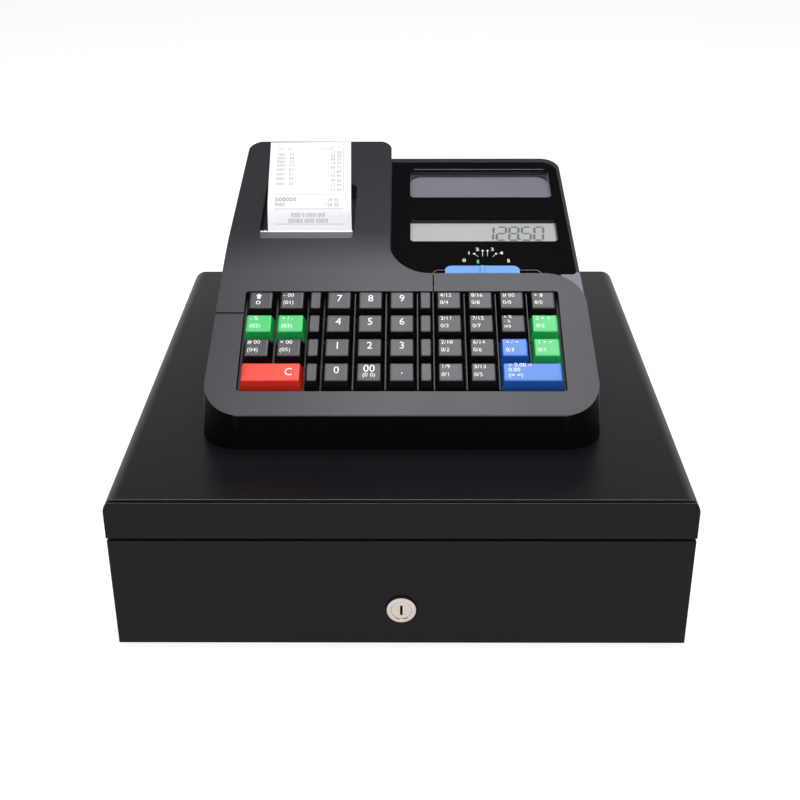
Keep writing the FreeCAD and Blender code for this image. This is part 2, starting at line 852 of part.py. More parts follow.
def make_keyboard_frame():
    """Black key frame: a rimmed tray under the opening with ribs between the columns and a hole for each stem."""
    rim_top = -wall - case_seam
    half = opening_width / 2
    tray = keyboard_opening(frame_margin, -frame_drop - frame_thickness, rim_top)
    tray = tray.cut(keyboard_opening(seam, -frame_drop, rim_top + cut_over))
    ribs = []
    rib_columns = [digit_first_column + k for k in range(1, 4)] + [department_first_column + k for k in range(4)]
    last_rows = {department_first_column + 3: 2}
    for column in rib_columns:
        x = first_column_x + column * key_pitch
        first = first_row_s + (row_pitch if column in last_rows else 0)
        ribs.append(key_block(x - rib_thickness / 2, x + rib_thickness / 2, first, opening_length - first_row_s,
                              -frame_drop, -frame_drop + rib_rise))
    legs = []
    for x in (-half + frame_leg_inset, half - frame_leg_inset):
        for along in (frame_leg_inset, opening_length - frame_rear_leg_inset):
            top = on_keys(x, along, -frame_drop - frame_thickness / 2)
            leg_half = frame_leg_width / 2
            legs.append(block(top.x - leg_half, top.x + leg_half, top.y - leg_half, top.y + leg_half,
                              floor_top, top.z))
    frame = fuse(tray, *ribs, *legs).cut(display_space(seam))
    hole = stem_width / 2 + stem_gap
    holes = [key_block(x - hole, x + hole, s - hole, s + hole, -frame_drop - frame_thickness - cut_over,
                       -frame_drop + cut_over)
             for _, column, wide, row in key_table() for x, s in stem_places(column, wide, row)]
    return frame.cut(Part.makeCompound(holes))


# Mode slider

def slider_front_y():
    return -bezel_rear_y + slider_front_gap


def slider_plan(x0, x1, y0, y1, rounding):
    return plan_plate([(x0, y0, 0), (x1, y0, 0), (x1, y1, rounding), (x0, y1, rounding)], lid_top, lid_top + far)


def slider_stem(grow, left, right):
    """Stem of the slider, or the slot that it runs in when it is grown and stretched."""
    half = slider_stem_length / 2
    y1 = slider_front_y() + slider_depth - slider_corner_radius
    return slider_plan(slider_centre_x - half - grow - left, slider_centre_x + half + grow + right,
                       y1 - slider_stem_depth - grow, y1 + grow, 0)


def make_mode_slider():
    """Blue thumb slider with a pointer ridge, lying in its bay behind the bezel, on a stem through the slot."""
    half = slider_width / 2
    y0, y1 = slider_front_y(), slider_front_y() + slider_depth
    low = panel_thickness - slider_lift
    cap = slider_plan(slider_centre_x - half, slider_centre_x + half, y0, y1, slider_corner_radius)
    cap = cap.common(panel_band(-slider_height, low))
    ridge_half = slider_nub_width / 2
    ridge = slider_plan(slider_centre_x - ridge_half, slider_centre_x + ridge_half, y0 + slider_nub_height,
                        y1 - slider_nub_height, ridge_half / 2).common(panel_band(-slider_height - slider_nub_height,
                                                                                   low))
    stem = slider_stem(0, 0, 0).common(panel_band(0, panel_thickness + slider_stem_drop))
    return fuse(cap, ridge, stem)


# Display

def panel_plan(with_bay):
    """Plan of the glossy display panel: round corner at the printer cover, and a bay for the slider."""
    right_front = half_width(panel_height(-panel_front_y)) - panel_margin
    right_rear = half_width(panel_height(display_rear_top)) - panel_margin
    rear = display_rear_top - wall - panel_margin
    left = -step_x + panel_left_gap
    edge_y = -bezel_rear_y + panel_left_gap
    front = [(right_front, -panel_front_y, bay_corner_radius), (panel_step_x, -panel_front_y, 0),
             (panel_step_x, edge_y, 0)]
    if with_bay:
        front += [(bay_right, edge_y, 0), (bay_right, bay_rear_y, bay_corner_radius),
                  (bay_left, bay_rear_y, bay_corner_radius), (bay_left, edge_y, 0)]
    return plan_plate([(left, rear, 0), (right_rear, rear, rear_corner_radius - panel_margin)] + front
                      + [(left, edge_y, step_corner_radius - panel_left_gap)], lid_top, lid_top + far)


def window_plan(front, rear, inset, rounding, rear_rounding=None):
    back = rounding if rear_rounding is None else rear_rounding
    return plan_plate([(window_left + inset, front + inset, rounding), (window_right - inset, front + inset, rounding),
                       (window_right - inset, rear - inset, back), (window_left + inset, rear - inset, back)],
                      lid_top, lid_top + far)


window_spans = ((lower_window_front, lower_window_rear), (upper_window_front, upper_window_rear))


def make_display_panel():
    """Glossy black panel over the display housing, with two windows."""
    body = panel_plan(True).common(panel_band(0, panel_thickness))
    for front, rear in window_spans:
        body = body.cut(window_plan(front, rear, 0, window_corner_radius))
    return body


def rear_point(z, inset):
    """Point of the display housing's leaning back wall at height z, `inset` inside it."""
    top = lid_top + display_top_height
    share = (z - part_z) / (top - part_z)
    y = body_rear + share * (display_rear_top - body_rear)
    return y - inset


def rear_band(outer, inner, x0, x1, z0, z1):
    """Layer of the back wall between two depths, over a window-shaped area."""
    return side_plate([(rear_point(z0, inner), z0, 0), (rear_point(z0, outer), z0, 0),
                       (rear_point(z1, outer), z1, 0), (rear_point(z1, inner), z1, 0)], x0, x1)


def make_display_windows():
    """Clear panes of the two front windows and of the customer's window at the back."""
    panes = []
    for front, rear in window_spans:
        pane = window_plan(front, rear, window_fit, window_corner_radius - window_fit)
        panes.append(pane.common(panel_band(0, window_glass)))
    z0, z1 = lid_top + rear_window_low, lid_top + rear_window_high
    panes.append(rear_band(0, wall, rear_window_left + window_fit, rear_window_right - window_fit,
                           z0 + window_fit, z1 - window_fit))
    return panes


def make_lcd_modules():
    """Operator display, upper light plate and customer display, each in a frame against its window."""
    modules = []
    kinds = ((lcd_depth, window_corner_radius), (plate_depth, plate_corner_radius))
    for (front, rear), (depth, rounding) in zip(window_spans, kinds):
        outer = window_plan(front, rear, -lcd_overlap, 0)
        frame = outer.common(panel_band(deck_thickness, depth + lcd_thickness))
        hollow = window_plan(front, rear, 0, window_corner_radius, rounding)
        modules.append(frame.cut(hollow.common(panel_band(0, depth))) if depth > deck_thickness else frame)
    z0, z1 = lid_top + rear_window_low, lid_top + rear_window_high
    back = rear_band(wall, wall + 2 * lcd_thickness, rear_window_left - lcd_overlap, rear_window_right + lcd_overlap,
                     z0 - lcd_overlap, z1 + lcd_overlap)
    hollow = rear_band(0, wall + lcd_thickness, rear_window_left, rear_window_right, z0, z1)
    modules.append(back.cut(hollow))
    return modules


# Receipt printer

platen_centre = V(-paper_centre_x, paper_y + paper_thickness / 2 + platen_gap + platen_radius,
                  lid_top + platen_height)
roll_centre = V(-paper_centre_x, roll_y, lid_top + roll_height)
plate_outer = plate_space / 2 + plate_thickness


def make_receipt_paper():
    """Printed strip that comes up through the mouth, leans back over the tear bar and runs on nearly straight."""
    first, last = math.radians(paper_first_angle), math.radians(paper_end_angle)
    low = platen_centre.z + platen_shaft_radius
    bend = (paper_y, cover_height(paper_y) - paper_bend_drop)
    curl = (bend[0] + paper_first_run * math.cos(first), bend[1] + paper_first_run * math.sin(first))
    end = (curl[0] + paper_end_run * math.cos(last), curl[1] + paper_end_run * math.sin(last))
    return bent_sheet([(paper_y, low, 0), (*bend, paper_bend_radius), (*curl, paper_curl_radius), (*end, 0)],
                      paper_thickness, -paper_centre_x - paper_width / 2, -paper_centre_x + paper_width / 2)


def recess_plan(grow, z0, z1):
    corner = recess_corner_radius + grow
    return plan_plate([(-recess_left - grow, recess_front_y - grow, corner / 2),
                       (-recess_right + grow, recess_front_y - grow, corner / 2),
                       (-recess_right + grow, recess_rear_y + grow, corner),
                       (-recess_left - grow, recess_rear_y + grow, corner)], z0, z1)


def recess_shape():
    """Recess in the printer cover behind the tear bar, and the mouth in its floor for the paper."""
    mouth = block(-recess_left + mouth_end_inset, -recess_right - mouth_end_inset / 2, recess_front_y,
                  recess_front_y + mouth_width, floor_top, lid_top + far)
    body = recess_plan(0, skirt_z, lid_top + far)
    return body.cut(under_cover(recess_depth)).fuse(mouth)


def recess_lining():
    """Walls and floor of the recess under the cover skin, with a ledge under the tear bar."""
    body = recess_plan(wall, skirt_z, lid_top + far)
    ledge = block(-recess_left - wall, -recess_right + wall, recess_front_y - tear_bar_width - wall,
                  recess_front_y + wall, skirt_z, lid_top + far).common(under_cover(wall / 2))
    return body.fuse(ledge.cut(under_cover(2 * wall))).common(under_cover(wall / 2)).cut(
        under_cover(recess_depth + wall))


def tear_bar_block(grow, proud, seat):
    """Strip of the cover in front of the mouth, from above its surface to a depth under it."""
    y1 = recess_front_y
    y0 = y1 - tear_bar_width
    corner = tear_bar_corner_radius
    body = plan_plate([(-tear_bar_left - grow, y0 - grow, corner), (-tear_bar_right + grow, y0 - grow, corner),
                       (-tear_bar_right + grow, y1 + grow, 0), (-tear_bar_left - grow, y1 + grow, 0)],
                      skirt_z, lid_top + far)
    rise = math.tan(math.radians(tear_bar_angle))
    top = [cover_height(y1) + rise * (y - y1) for y in (y0 - cut_over, y1 + cut_over)]
    layer = side_plate([(y0 - cut_over, top[0] - seat, 0), (y0 - cut_over, top[0] + proud, 0),
                        (y1 + cut_over, top[1] + proud, 0), (y1 + cut_over, top[1] - seat, 0)], -far, far)
    return body.common(layer)


def make_tear_bar():
    """Clear tear bar, let into the cover, with a toothed edge towards the paper."""
    bar = tear_bar_block(0, tear_bar_proud, tear_bar_seat)
    y1 = recess_front_y
    half = tear_tooth_pitch / 2
    count = int((tear_bar_left - tear_bar_right) / tear_tooth_pitch)
    cuts = []
    for k in range(count):
        x = -tear_bar_left + (2 * k + 1) * half
        cuts.append(plan_plate([(x - half / 2, y1, 0), (x, y1 - tear_tooth_depth, 0), (x + half / 2, y1, 0)],
                               skirt_z, lid_top + far))
    return bar.cut(Part.makeCompound(cuts))


def make_printer_mechanism():
    """Printer frame: two side plates on a base, a tie bar, and the print head in front of the platen."""
    x_mid = platen_centre.x
    front, rear = platen_centre.y - mechanism_front_reach, platen_centre.y + mechanism_rear_reach
    top = platen_centre.z + platen_shaft_radius + plate_thickness
    plates = []
    for side in (-1, 1):
        near = x_mid + side * plate_space / 2
        x0, x1 = sorted((near, near + side * plate_thickness))
        plates.append(block(x0, x1, front, rear, floor_top, top))
    base = block(x_mid - plate_outer, x_mid + plate_outer, front, rear, floor_top, floor_top + plate_thickness)
    head_y = paper_y - paper_thickness / 2 - platen_gap
    head = block(x_mid - plate_space / 2, x_mid + plate_space / 2, head_y - head_depth, head_y,
                 platen_centre.z - head_drop, platen_centre.z + platen_shaft_radius)
    tie_y, tie_z = rear - 2 * plate_thickness, floor_top + mechanism_rear_reach
    tie = block(x_mid - plate_outer, x_mid + plate_outer, tie_y, tie_y + platen_shaft_radius,
                tie_z, tie_z + 2 * platen_shaft_radius)
    reach = V(plate_outer + cut_over, 0, 0)
    return fuse(base, head, tie, *plates).cut(rod(platen_shaft_radius + shaft_fit, platen_centre - reach,
                                                  platen_centre + reach))


def make_platen_roller():
    """Rubber-covered roller that feeds the paper, with a thumb wheel at its left end."""
    roller = V(plate_space / 2 - platen_gap, 0, 0)
    wheel_right = V(plate_outer + platen_gap, 0, 0)
    wheel_left = wheel_right + V(thumb_wheel_width, 0, 0)
    body = rod(platen_radius, platen_centre - roller, platen_centre + roller)
    shaft = rod(platen_shaft_radius, platen_centre - wheel_left, platen_centre + V(plate_outer, 0, 0))
    wheel = rod(thumb_wheel_radius, platen_centre - wheel_left, platen_centre - wheel_right)
    return fuse(body, shaft, wheel)


def make_paper_roll():
    """Roll of receipt paper with its open core."""
    half = V(roll_width / 2, 0, 0)
    return rod(roll_radius, roll_centre - half, roll_centre + half).cut(
        rod(roll_core_radius, roll_centre - half * 2, roll_centre + half * 2))


def make_roll_cradle():
    """Half-round trough with end cheeks on two ribs, in which the roll lies loose."""
    radius = roll_radius + cradle_side_gap
    centre = roll_centre + V(0, 0, cradle_side_gap - cradle_lift)
    half = V(roll_width / 2 + cradle_side_gap, 0, 0)
    full = half + V(cradle_wall, 0, 0)
    top = centre.z - radius + cradle_cheek_height
    keep = block(-far, far, -far, far, floor_top, top)
    trough = rod(radius + cradle_wall, centre - full, centre + full).cut(rod(radius, centre - half, centre + half))
    ribs = []
    for side in (-1, 1):
        x = centre.x + side * half.x / 2
        rib = block(x - cradle_wall / 2, x + cradle_wall / 2, centre.y - radius / 2, centre.y + radius / 2,
                    floor_top, centre.z)
        ribs.append(rib.cut(rod(radius + cradle_wall / 2, centre - full, centre + full)))
    return fuse(trough.common(keep), *ribs)


# Register shells

def make_top_shell():
    """Skin of the bezel and the printer cover together, before the seam between them is cut."""
    outer = body_tower(0).common(under_cover(0)).cut(display_well(0, True))
    inner = body_tower(wall).common(under_cover(wall)).cut(display_well(wall, True))
    return outer.cut(inner)


def make_display_shell():
    """Display housing with its deck, back wall, and the wall beside the printer bay."""
    outer = display_space(0)
    inner = display_tower(wall).common(panel_band(deck_thickness, far)).common(display_well(divider_inset))
    shell = outer.cut(inner)
    shell = shell.cut(panel_plan(False).common(panel_band(-cut_over, panel_thickness)))
    for front, rear in window_spans:
        shell = shell.cut(window_plan(front, rear, 0, 0))
    slot = slider_stem(slider_slot_gap, modes_left * mode_step, modes_right * mode_step)
    shell = shell.cut(slot.common(panel_band(0, 2 * deck_thickness)))
    z0, z1 = lid_top + rear_window_low, lid_top + rear_window_high
    return shell.cut(rear_band(-cut_over, 2 * wall, rear_window_left, rear_window_right, z0, z1))


def hinge_axis(x):
    return V(x, hinge_y, lid_top + hinge_height)


def hinge_leaf(x0, x1, way, near):
    """Eight-sided knuckle round the hinge axis, on a root that runs down (-1) or up (1) from height `near`."""
    axis, r, inner_y = hinge_axis(x0), hinge_knuckle_radius, body_rear - wall / 2
    end = axis.z + way * 2 * r
    near_z, far_z = axis.z + way * r / 2, axis.z - way * r / 2
    return side_plate([(inner_y, end, 0), (axis.y, end, 0), (axis.y + r, near_z, 0), (axis.y + r, far_z, 0),
                       (axis.y + r / 2, axis.z - way * r, 0), (axis.y - r / 2, axis.z - way * r, 0),
                       (axis.y - r, far_z, 0), (axis.y - r, near, 0), (inner_y, near, 0)], x0, x1)


def case_hinge():
    """Two ears on the back wall, outside the two knuckles of the cover."""
    ears = []
    for x, side in zip(hinge_places, (-1, 1)):
        near = x + side * (hinge_knuckle_width / 2 + hinge_gap)
        x0, x1 = sorted((near, near + side * hinge_ear_width))
        ears.append(hinge_leaf(x0, x1, -1, skirt_z))
    return ears


def hinge_pin(x, side, radius, length):
    """Pin from the middle of a knuckle outwards, through its ear."""
    return rod(radius, hinge_axis(x), hinge_axis(x) + V(side * length, 0, 0))


def make_upper_case(top_shell, display_shell):
    """Keyboard bezel, side walls and display housing in one moulding."""
    above = block(-far, far, -far, far, part_z, lid_top + far)
    opening = keyboard_opening(0, -key_depth_cut, key_depth_cut, opening_corner_radius)
    bezel = top_shell.cut(cover_zone(0)).cut(opening).cut(display_space(0))
    case = fuse(bezel, display_shell, *case_hinge()).common(above)
    hole_z = lid_top + cord_hole_height
    axis, out = V(cord_hole_x, rear_point(hole_z, wall / 2), hole_z), V(0, cut_over, 0)
    case = case.cut(rod(cord_hole_radius, axis - out, axis + out))
    reach = hinge_knuckle_width / 2 + hinge_gap + hinge_ear_width + cut_over
    return case.cut(Part.makeCompound([hinge_pin(x, side, hinge_pin_radius + shaft_fit, reach)
                                       for x, side in zip(hinge_places, (-1, 1))]))


def make_printer_cover(top_shell):
    """Lift-up cover with the paper recess, the mouth and the seat of the tear bar."""
    opening = keyboard_opening(0, -key_depth_cut, key_depth_cut, opening_corner_radius)
    cover = top_shell.common(cover_zone(seam)).cut(opening)
    knuckles = []
    half, reach = hinge_knuckle_width / 2, hinge_knuckle_width / 2 + hinge_gap + hinge_ear_width
    for x, side in zip(hinge_places, (-1, 1)):
        knuckles += [hinge_leaf(x - half, x + half, 1, skirt_z + seam), hinge_pin(x, side, hinge_pin_radius, reach)]
    cover = fuse(cover, recess_lining(), *knuckles)
    return cover.cut(recess_shape()).cut(tear_bar_block(tear_seat_fit, cut_over, tear_bar_seat))


def make_lower_case():
    """Shallow tray under the register with the paper cradle, and a lip inside the seam with the upper case."""
    tray = body_tower(0).common(block(-far, far, -far, far, lid_top, part_z - case_seam))
    lip = body_tower(case_seam).common(block(-far, far, -far, far, lid_top, part_z))
    hollow = body_tower(wall).common(block(-far, far, -far, far, floor_top, lid_top + far))
    return fuse(fuse(tray, lip).cut(hollow), make_roll_cradle())


def main():
    save("case_cover", make_case_cover())
    save("case_base", make_case_base())
    save("rubber_feet", *make_feet())
    save("drawer_box", make_drawer_box())
    save("drawer_latch", make_drawer_latch())
    save("lock_body", *make_lock_body())
    save("lock_plug", make_lock_plug())
    save("till_insert", make_till_insert())
    for index in range(bill_count):
        save("bill_clip_%d" % (index + 1), make_bill_clip(index))
    top_shell = make_top_shell()
    save("upper_case", make_upper_case(top_shell, make_display_shell()))
    save("printer_cover", make_printer_cover(top_shell))
    save("lower_case", make_lower_case())
    save("tear_bar", make_tear_bar())
    save("receipt_paper", make_receipt_paper())
    save("paper_roll", make_paper_roll())
    save("printer_mechanism", make_printer_mechanism())
    save("platen_roller", make_platen_roller())
    save("display_panel", make_display_panel())
    save("display_windows", *make_display_windows())
    save("lcd_modules", *make_lcd_modules())
    save("mode_slider", make_mode_slider())
    save("keyboard_frame", make_keyboard_frame())
    save("blank_caps", *make_blank_caps())
    for name, column, wide, row in key_table():
        save("key_" + name, make_key(name, column, wide, row))


main()
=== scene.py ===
import json
import math

import bmesh
import bpy
from mathutils import Matrix, Vector


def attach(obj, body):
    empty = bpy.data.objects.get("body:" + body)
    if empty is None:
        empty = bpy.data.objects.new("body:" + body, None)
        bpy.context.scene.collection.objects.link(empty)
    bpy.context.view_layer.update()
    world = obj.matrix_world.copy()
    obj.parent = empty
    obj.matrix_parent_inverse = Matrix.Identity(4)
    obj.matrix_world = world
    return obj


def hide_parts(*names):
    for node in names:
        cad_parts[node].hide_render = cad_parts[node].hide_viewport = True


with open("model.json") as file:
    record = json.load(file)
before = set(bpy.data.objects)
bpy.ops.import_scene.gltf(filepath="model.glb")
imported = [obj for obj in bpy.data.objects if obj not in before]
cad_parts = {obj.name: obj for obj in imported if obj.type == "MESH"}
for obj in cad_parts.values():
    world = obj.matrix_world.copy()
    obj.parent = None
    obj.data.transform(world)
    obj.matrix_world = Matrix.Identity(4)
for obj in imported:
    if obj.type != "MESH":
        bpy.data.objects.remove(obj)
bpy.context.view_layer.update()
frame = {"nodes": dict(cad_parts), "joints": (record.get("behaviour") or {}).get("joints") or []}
nodes = frame["nodes"]
scene = bpy.context.scene
mm = 0.001
print("frame loaded")


# Materials: every pattern reads Object coordinates, in metres

def shaderOf(name):
    material = bpy.data.materials.new(name)
    material.use_nodes = True
    tree = material.node_tree
    return material, tree, tree.nodes["Principled BSDF"]


def link(tree, start, startSocket, end, endSocket):
    tree.links.new(start.outputs[startSocket], end.inputs[endSocket])


def mathNode(tree, operation):
    node = tree.nodes.new("ShaderNodeMath")
    node.operation = operation
    return node


def noiseNode(tree, scale, detail):
    coordinates = tree.nodes.new("ShaderNodeTexCoord")
    noise = tree.nodes.new("ShaderNodeTexNoise")
    noise.inputs["Scale"].default_value = scale
    noise.inputs["Detail"].default_value = detail
    link(tree, coordinates, "Object", noise, "Vector")
    return noise


def rangeNode(tree, low, high):
    node = tree.nodes.new("ShaderNodeMapRange")
    node.inputs["To Min"].default_value = low
    node.inputs["To Max"].default_value = high
    return node


surfaceDefaults = {"metallic": 0, "coat": 0, "coatRoughness": 0.1, "specular": 0.5,
                   "sheenTint": (1, 1, 1), "broadScale": 40, "broadDetail": 2,
                   "roughnessSpread": 0.04, "mottle": 0.05, "grain": 0, "grainDetail": 3,
                   "grainDepth": 0.02}


def makeSurface(name, given):
    user = {**surfaceDefaults, **given}
    material, tree, shader = shaderOf(name)
    shader.inputs["Base Color"].default_value = (*user["color"], 1)
    shader.inputs["Metallic"].default_value = user["metallic"]
    shader.inputs["Coat Weight"].default_value = user["coat"]
    shader.inputs["Coat Roughness"].default_value = user["coatRoughness"]
    shader.inputs["Specular IOR Level"].default_value = user["specular"]
    shader.inputs["Specular Tint"].default_value = (*user["sheenTint"], 1)
    broad = noiseNode(tree, user["broadScale"], user["broadDetail"])
    spread = user["roughnessSpread"]
    worn = rangeNode(tree, user["roughness"] - spread, user["roughness"] + spread)
    link(tree, broad, "Fac", worn, "Value")
    link(tree, worn, "Result", shader, "Roughness")
    tint = tree.nodes.new("ShaderNodeMixRGB")
    tint.blend_type = "MULTIPLY"
    tint.inputs["Fac"].default_value = 1
    tint.inputs["Color1"].default_value = (*user["color"], 1)
    shade = rangeNode(tree, 1 - user["mottle"], 1 + user["mottle"])
    link(tree, broad, "Fac", shade, "Value")
    link(tree, shade, "Result", tint, "Color2")
    link(tree, tint, "Color", shader, "Base Color")
    if user["grain"]:
        grain = noiseNode(tree, user["grainScale"], user["grainDetail"])
        bump = tree.nodes.new("ShaderNodeBump")
        bump.inputs["Strength"].default_value = user["grain"]
        bump.inputs["Distance"].default_value = user["grainDepth"] * mm
        link(tree, grain, "Fac", bump, "Height")
        link(tree, bump, "Normal", shader, "Normal")
    return material


# A clear sheet mirrors on its outer side only, so that it never darkens what is behind it

def makeClear(name, user):
    material, tree, shader = shaderOf(name)
    tree.nodes.remove(shader)
    glossy = tree.nodes.new("ShaderNodeBsdfGlossy")
    glossy.inputs["Roughness"].default_value = user["roughness"]
    through = tree.nodes.new("ShaderNodeBsdfTransparent")
    through.inputs["Color"].default_value = (*user["tint"], 1)
    facing = tree.nodes.new("ShaderNodeFresnel")
    facing.inputs["IOR"].default_value = user["ior"]
    geometry = tree.nodes.new("ShaderNodeNewGeometry")
    outside = mathNode(tree, "SUBTRACT")
    outside.inputs[0].default_value = 1
    link(tree, geometry, "Backfacing", outside, 1)
    mirrored = mathNode(tree, "MULTIPLY")
    link(tree, facing, "Fac", mirrored, 0)
    link(tree, outside, "Value", mirrored, 1)
    mix = tree.nodes.new("ShaderNodeMixShader")
    link(tree, mirrored, "Value", mix, 0)
    link(tree, through, "BSDF", mix, 1)
    link(tree, glossy, "BSDF", mix, 2)
    link(tree, mix, "Shader", tree.nodes["Material Output"], "Surface")
    return material


bodyGrain = {"grain": 0.4, "grainScale": 2600, "grainDepth": 0.03, "broadScale": 18}
darkGrain = {"grain": 0.15, "grainScale": 3000}
capLook = {"roughness": 0.34, "grain": 0.12, "grainScale": 3000}
shadedSideLook = {"roughness": 0.4, "specular": 0.3, "grain": 0.12, "grainScale": 3000}
surfaceValues = {
    "casePaint": {"color": (0.0064, 0.0053, 0.0072), "roughness": 0.36, "specular": 0.14,
                  "sheenTint": (1.0, 0.9, 1.0), "grain": 0.3, "grainScale": 1400,
                  "grainDepth": 0.04, "roughnessSpread": 0.05, "broadScale": 12},
    # The pale colour on the bevel along the lid's front edge is a painted highlight.
    "lidEdgeHighlight": {"color": (0.19, 0.185, 0.205), "roughness": 0.4, "specular": 0.3},
    "bodyPlastic": {"color": (0.0065, 0.006, 0.0085), "roughness": 0.42, "specular": 0.56,
                    "sheenTint": (0.94, 0.91, 1.0), **bodyGrain},
    # The pale colour of the deck's corner right of the slider is a painted reflection.
    "deckReflection": {"color": (0.19, 0.185, 0.245), "roughness": 0.4, "broadScale": 18},
    # Near-black, low-gloss plastic: on upper_case's front-facing walls it is painted shade, darker
    # than the sides of the same moulding; lower_case has it as its own colour.
    "skirtBlackShade": {"color": (0.0010, 0.0009, 0.0011), "roughness": 0.55, "specular": 0.05,
                     **bodyGrain},
    "framePlastic": {"color": (0.006, 0.006, 0.0065), "roughness": 0.45, "grain": 0.2,
                     "grainScale": 2600},
    "tillPlastic": {"color": (0.03, 0.03, 0.032), "roughness": 0.5, "grain": 0.4,
                    "grainScale": 1800},
    # Black on the faces along the parting gaps is painted shade.
    "seamShade": {"color": (0.001, 0.001, 0.001), "roughness": 0.7, "specular": 0.05},
    # The pale grey line along the cut edge of the slider's bay is a painted highlight.
    "bayEdgeHighlight": {"color": (0.16, 0.155, 0.17), "roughness": 0.5},
    "barFrost": {"color": (0.10, 0.098, 0.103), "roughness": 0.3, "broadScale": 60,
                 "mottle": 0.15},
    # The near-white rear edge of the tear bar is a painted highlight.
    "barEdgeHighlight": {"color": (0.88, 0.88, 0.9), "roughness": 0.3, "specular": 0.6},
    "keyDark": {"color": (0.0085, 0.008, 0.011), "roughness": 0.4, "specular": 0.68,
                "sheenTint": (0.96, 0.94, 1.0), **darkGrain},
    "keyGreen": {"color": (0.03, 0.50, 0.12), **capLook},
    "keyRed": {"color": (0.85, 0.035, 0.012), "specular": 0.35, **capLook},
    "keyBlue": {"color": (0.025, 0.165, 0.58), **capLook},
    # The side colours are darker, less glossy copies of the key colours for the caps' skirts:
    # painted shade.
    "sideDark": {"color": (0.002, 0.002, 0.0025), "roughness": 0.5, "specular": 0.1,
                 **darkGrain},
    "sideGreen": {"color": (0.014, 0.33, 0.07), **shadedSideLook},
    "sideRed": {"color": (0.60, 0.022, 0.009), **shadedSideLook},
    "sideBlue": {"color": (0.010, 0.075, 0.34), **shadedSideLook},
    "legendWhite": {"color": (0.90, 0.91, 0.92), "roughness": 0.55},
    "legendGreen": {"color": (0.03, 0.5, 0.10), "roughness": 0.5},
    "panelGloss": {"color": (0.004, 0.0035, 0.0045), "roughness": 0.1, "specular": 0.35,
                   "roughnessSpread": 0.02},
    "lcdFrame": {"color": (0.05, 0.047, 0.058), "roughness": 0.5},
    "lcdFace": {"color": (0.56, 0.57, 0.55), "roughness": 0.35, "broadScale": 9,
                "mottle": 0.03},
    "lcdInk": {"color": (0.16, 0.165, 0.165), "roughness": 0.4},
    "plateFace": {"color": (0.24, 0.235, 0.27), "roughness": 0.3, "broadScale": 12},
    "recessWall": {"color": (0.5, 0.47, 0.55), "roughness": 0.4},
    "sliderBlue": {"color": (0.16, 0.37, 0.80), "roughness": 0.25, "coat": 0.4,
                   "coatRoughness": 0.12},
    "sliderDark": {"color": (0.015, 0.07, 0.30), "roughness": 0.3},
    "lockNickel": {"color": (0.55, 0.49, 0.46), "roughness": 0.16, "metallic": 1,
                   "broadScale": 300, "grain": 0.1, "grainScale": 2000},
    # Near-black on the lock is painted shade in the keyway and in the gap round the plug, and a
    # painted dark reflection on the ring's outer flank.
    "lockShade": {"color": (0.006, 0.005, 0.005), "roughness": 0.5, "specular": 0.1},
    "sprungSteel": {"color": (0.56, 0.56, 0.58), "roughness": 0.34, "metallic": 1,
                    "grain": 0.2, "grainScale": 1800},
    "blackRubber": {"color": (0.02, 0.02, 0.02), "roughness": 0.8, "grain": 0.5,
                    "grainScale": 1500},
    "paperWhite": {"color": (0.80, 0.79, 0.83), "roughness": 0.85, "specular": 0.2,
                   "mottle": 0.02, "grain": 0.3, "grainScale": 2500},
    "paperInk": {"color": (0.20, 0.19, 0.23), "roughness": 0.8},
}
clearValues = {"roughness": 0.03, "tint": (0.95, 0.95, 0.96), "ior": 1.45}
surfaces = {name: makeSurface(name, user) for name, user in surfaceValues.items()}
surfaces["clearPane"] = makeClear("clearPane", clearValues)
print("materials made")


# Pieces

def addObject(name, data):
    holder = bpy.data.objects.new(name, data)
    scene.collection.objects.link(holder)
    return holder


def meshFrom(name, builder, materials):
    mesh = bpy.data.meshes.new(name)
    builder.to_mesh(mesh)
    builder.free()
    for entry in materials:
        mesh.materials.append(surfaces[entry])
    return mesh


def smoothMesh(mesh, angle):
    mesh.shade_smooth()
    mesh.set_sharp_from_angle(angle=math.radians(angle))


def finishMesh(name, builder, body, materials, replaced=(), angle=None):
    piece = addObject(name, meshFrom(name, builder, materials))
    if angle is not None:
        smoothMesh(piece.data, angle)
    if replaced:
        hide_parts(*replaced)
    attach(piece, body)


def applyModifiers(piece):
    bpy.context.view_layer.update()
    graph = bpy.context.evaluated_depsgraph_get()
    mesh = bpy.data.meshes.new_from_object(piece.evaluated_get(graph))
    piece.modifiers.clear()
    piece.data = mesh


def bmeshCenter(face):
    return face.calc_center_median() / mm


def meshCenter(face):
    return face.center / mm


def paintFaces(faces, centerOf, paints, first):
    for index, (_, chosen) in enumerate(paints, first):
        for face in faces:
            if chosen(centerOf(face), face.normal):
                face.material_index = index


# A dressed node is a copy with soft edges. The paints colour faces of the copy before its edges
# are bevelled, and the edgePaints after that. In this script they lay painted highlights, painted
# reflections and painted shade.

dressDefaults = {"merge": 0.004, "flat": 0.6, "segments": 2, "limit": 40, "shifts": (),
                 "cuts": (), "paints": (), "edgePaints": ()}


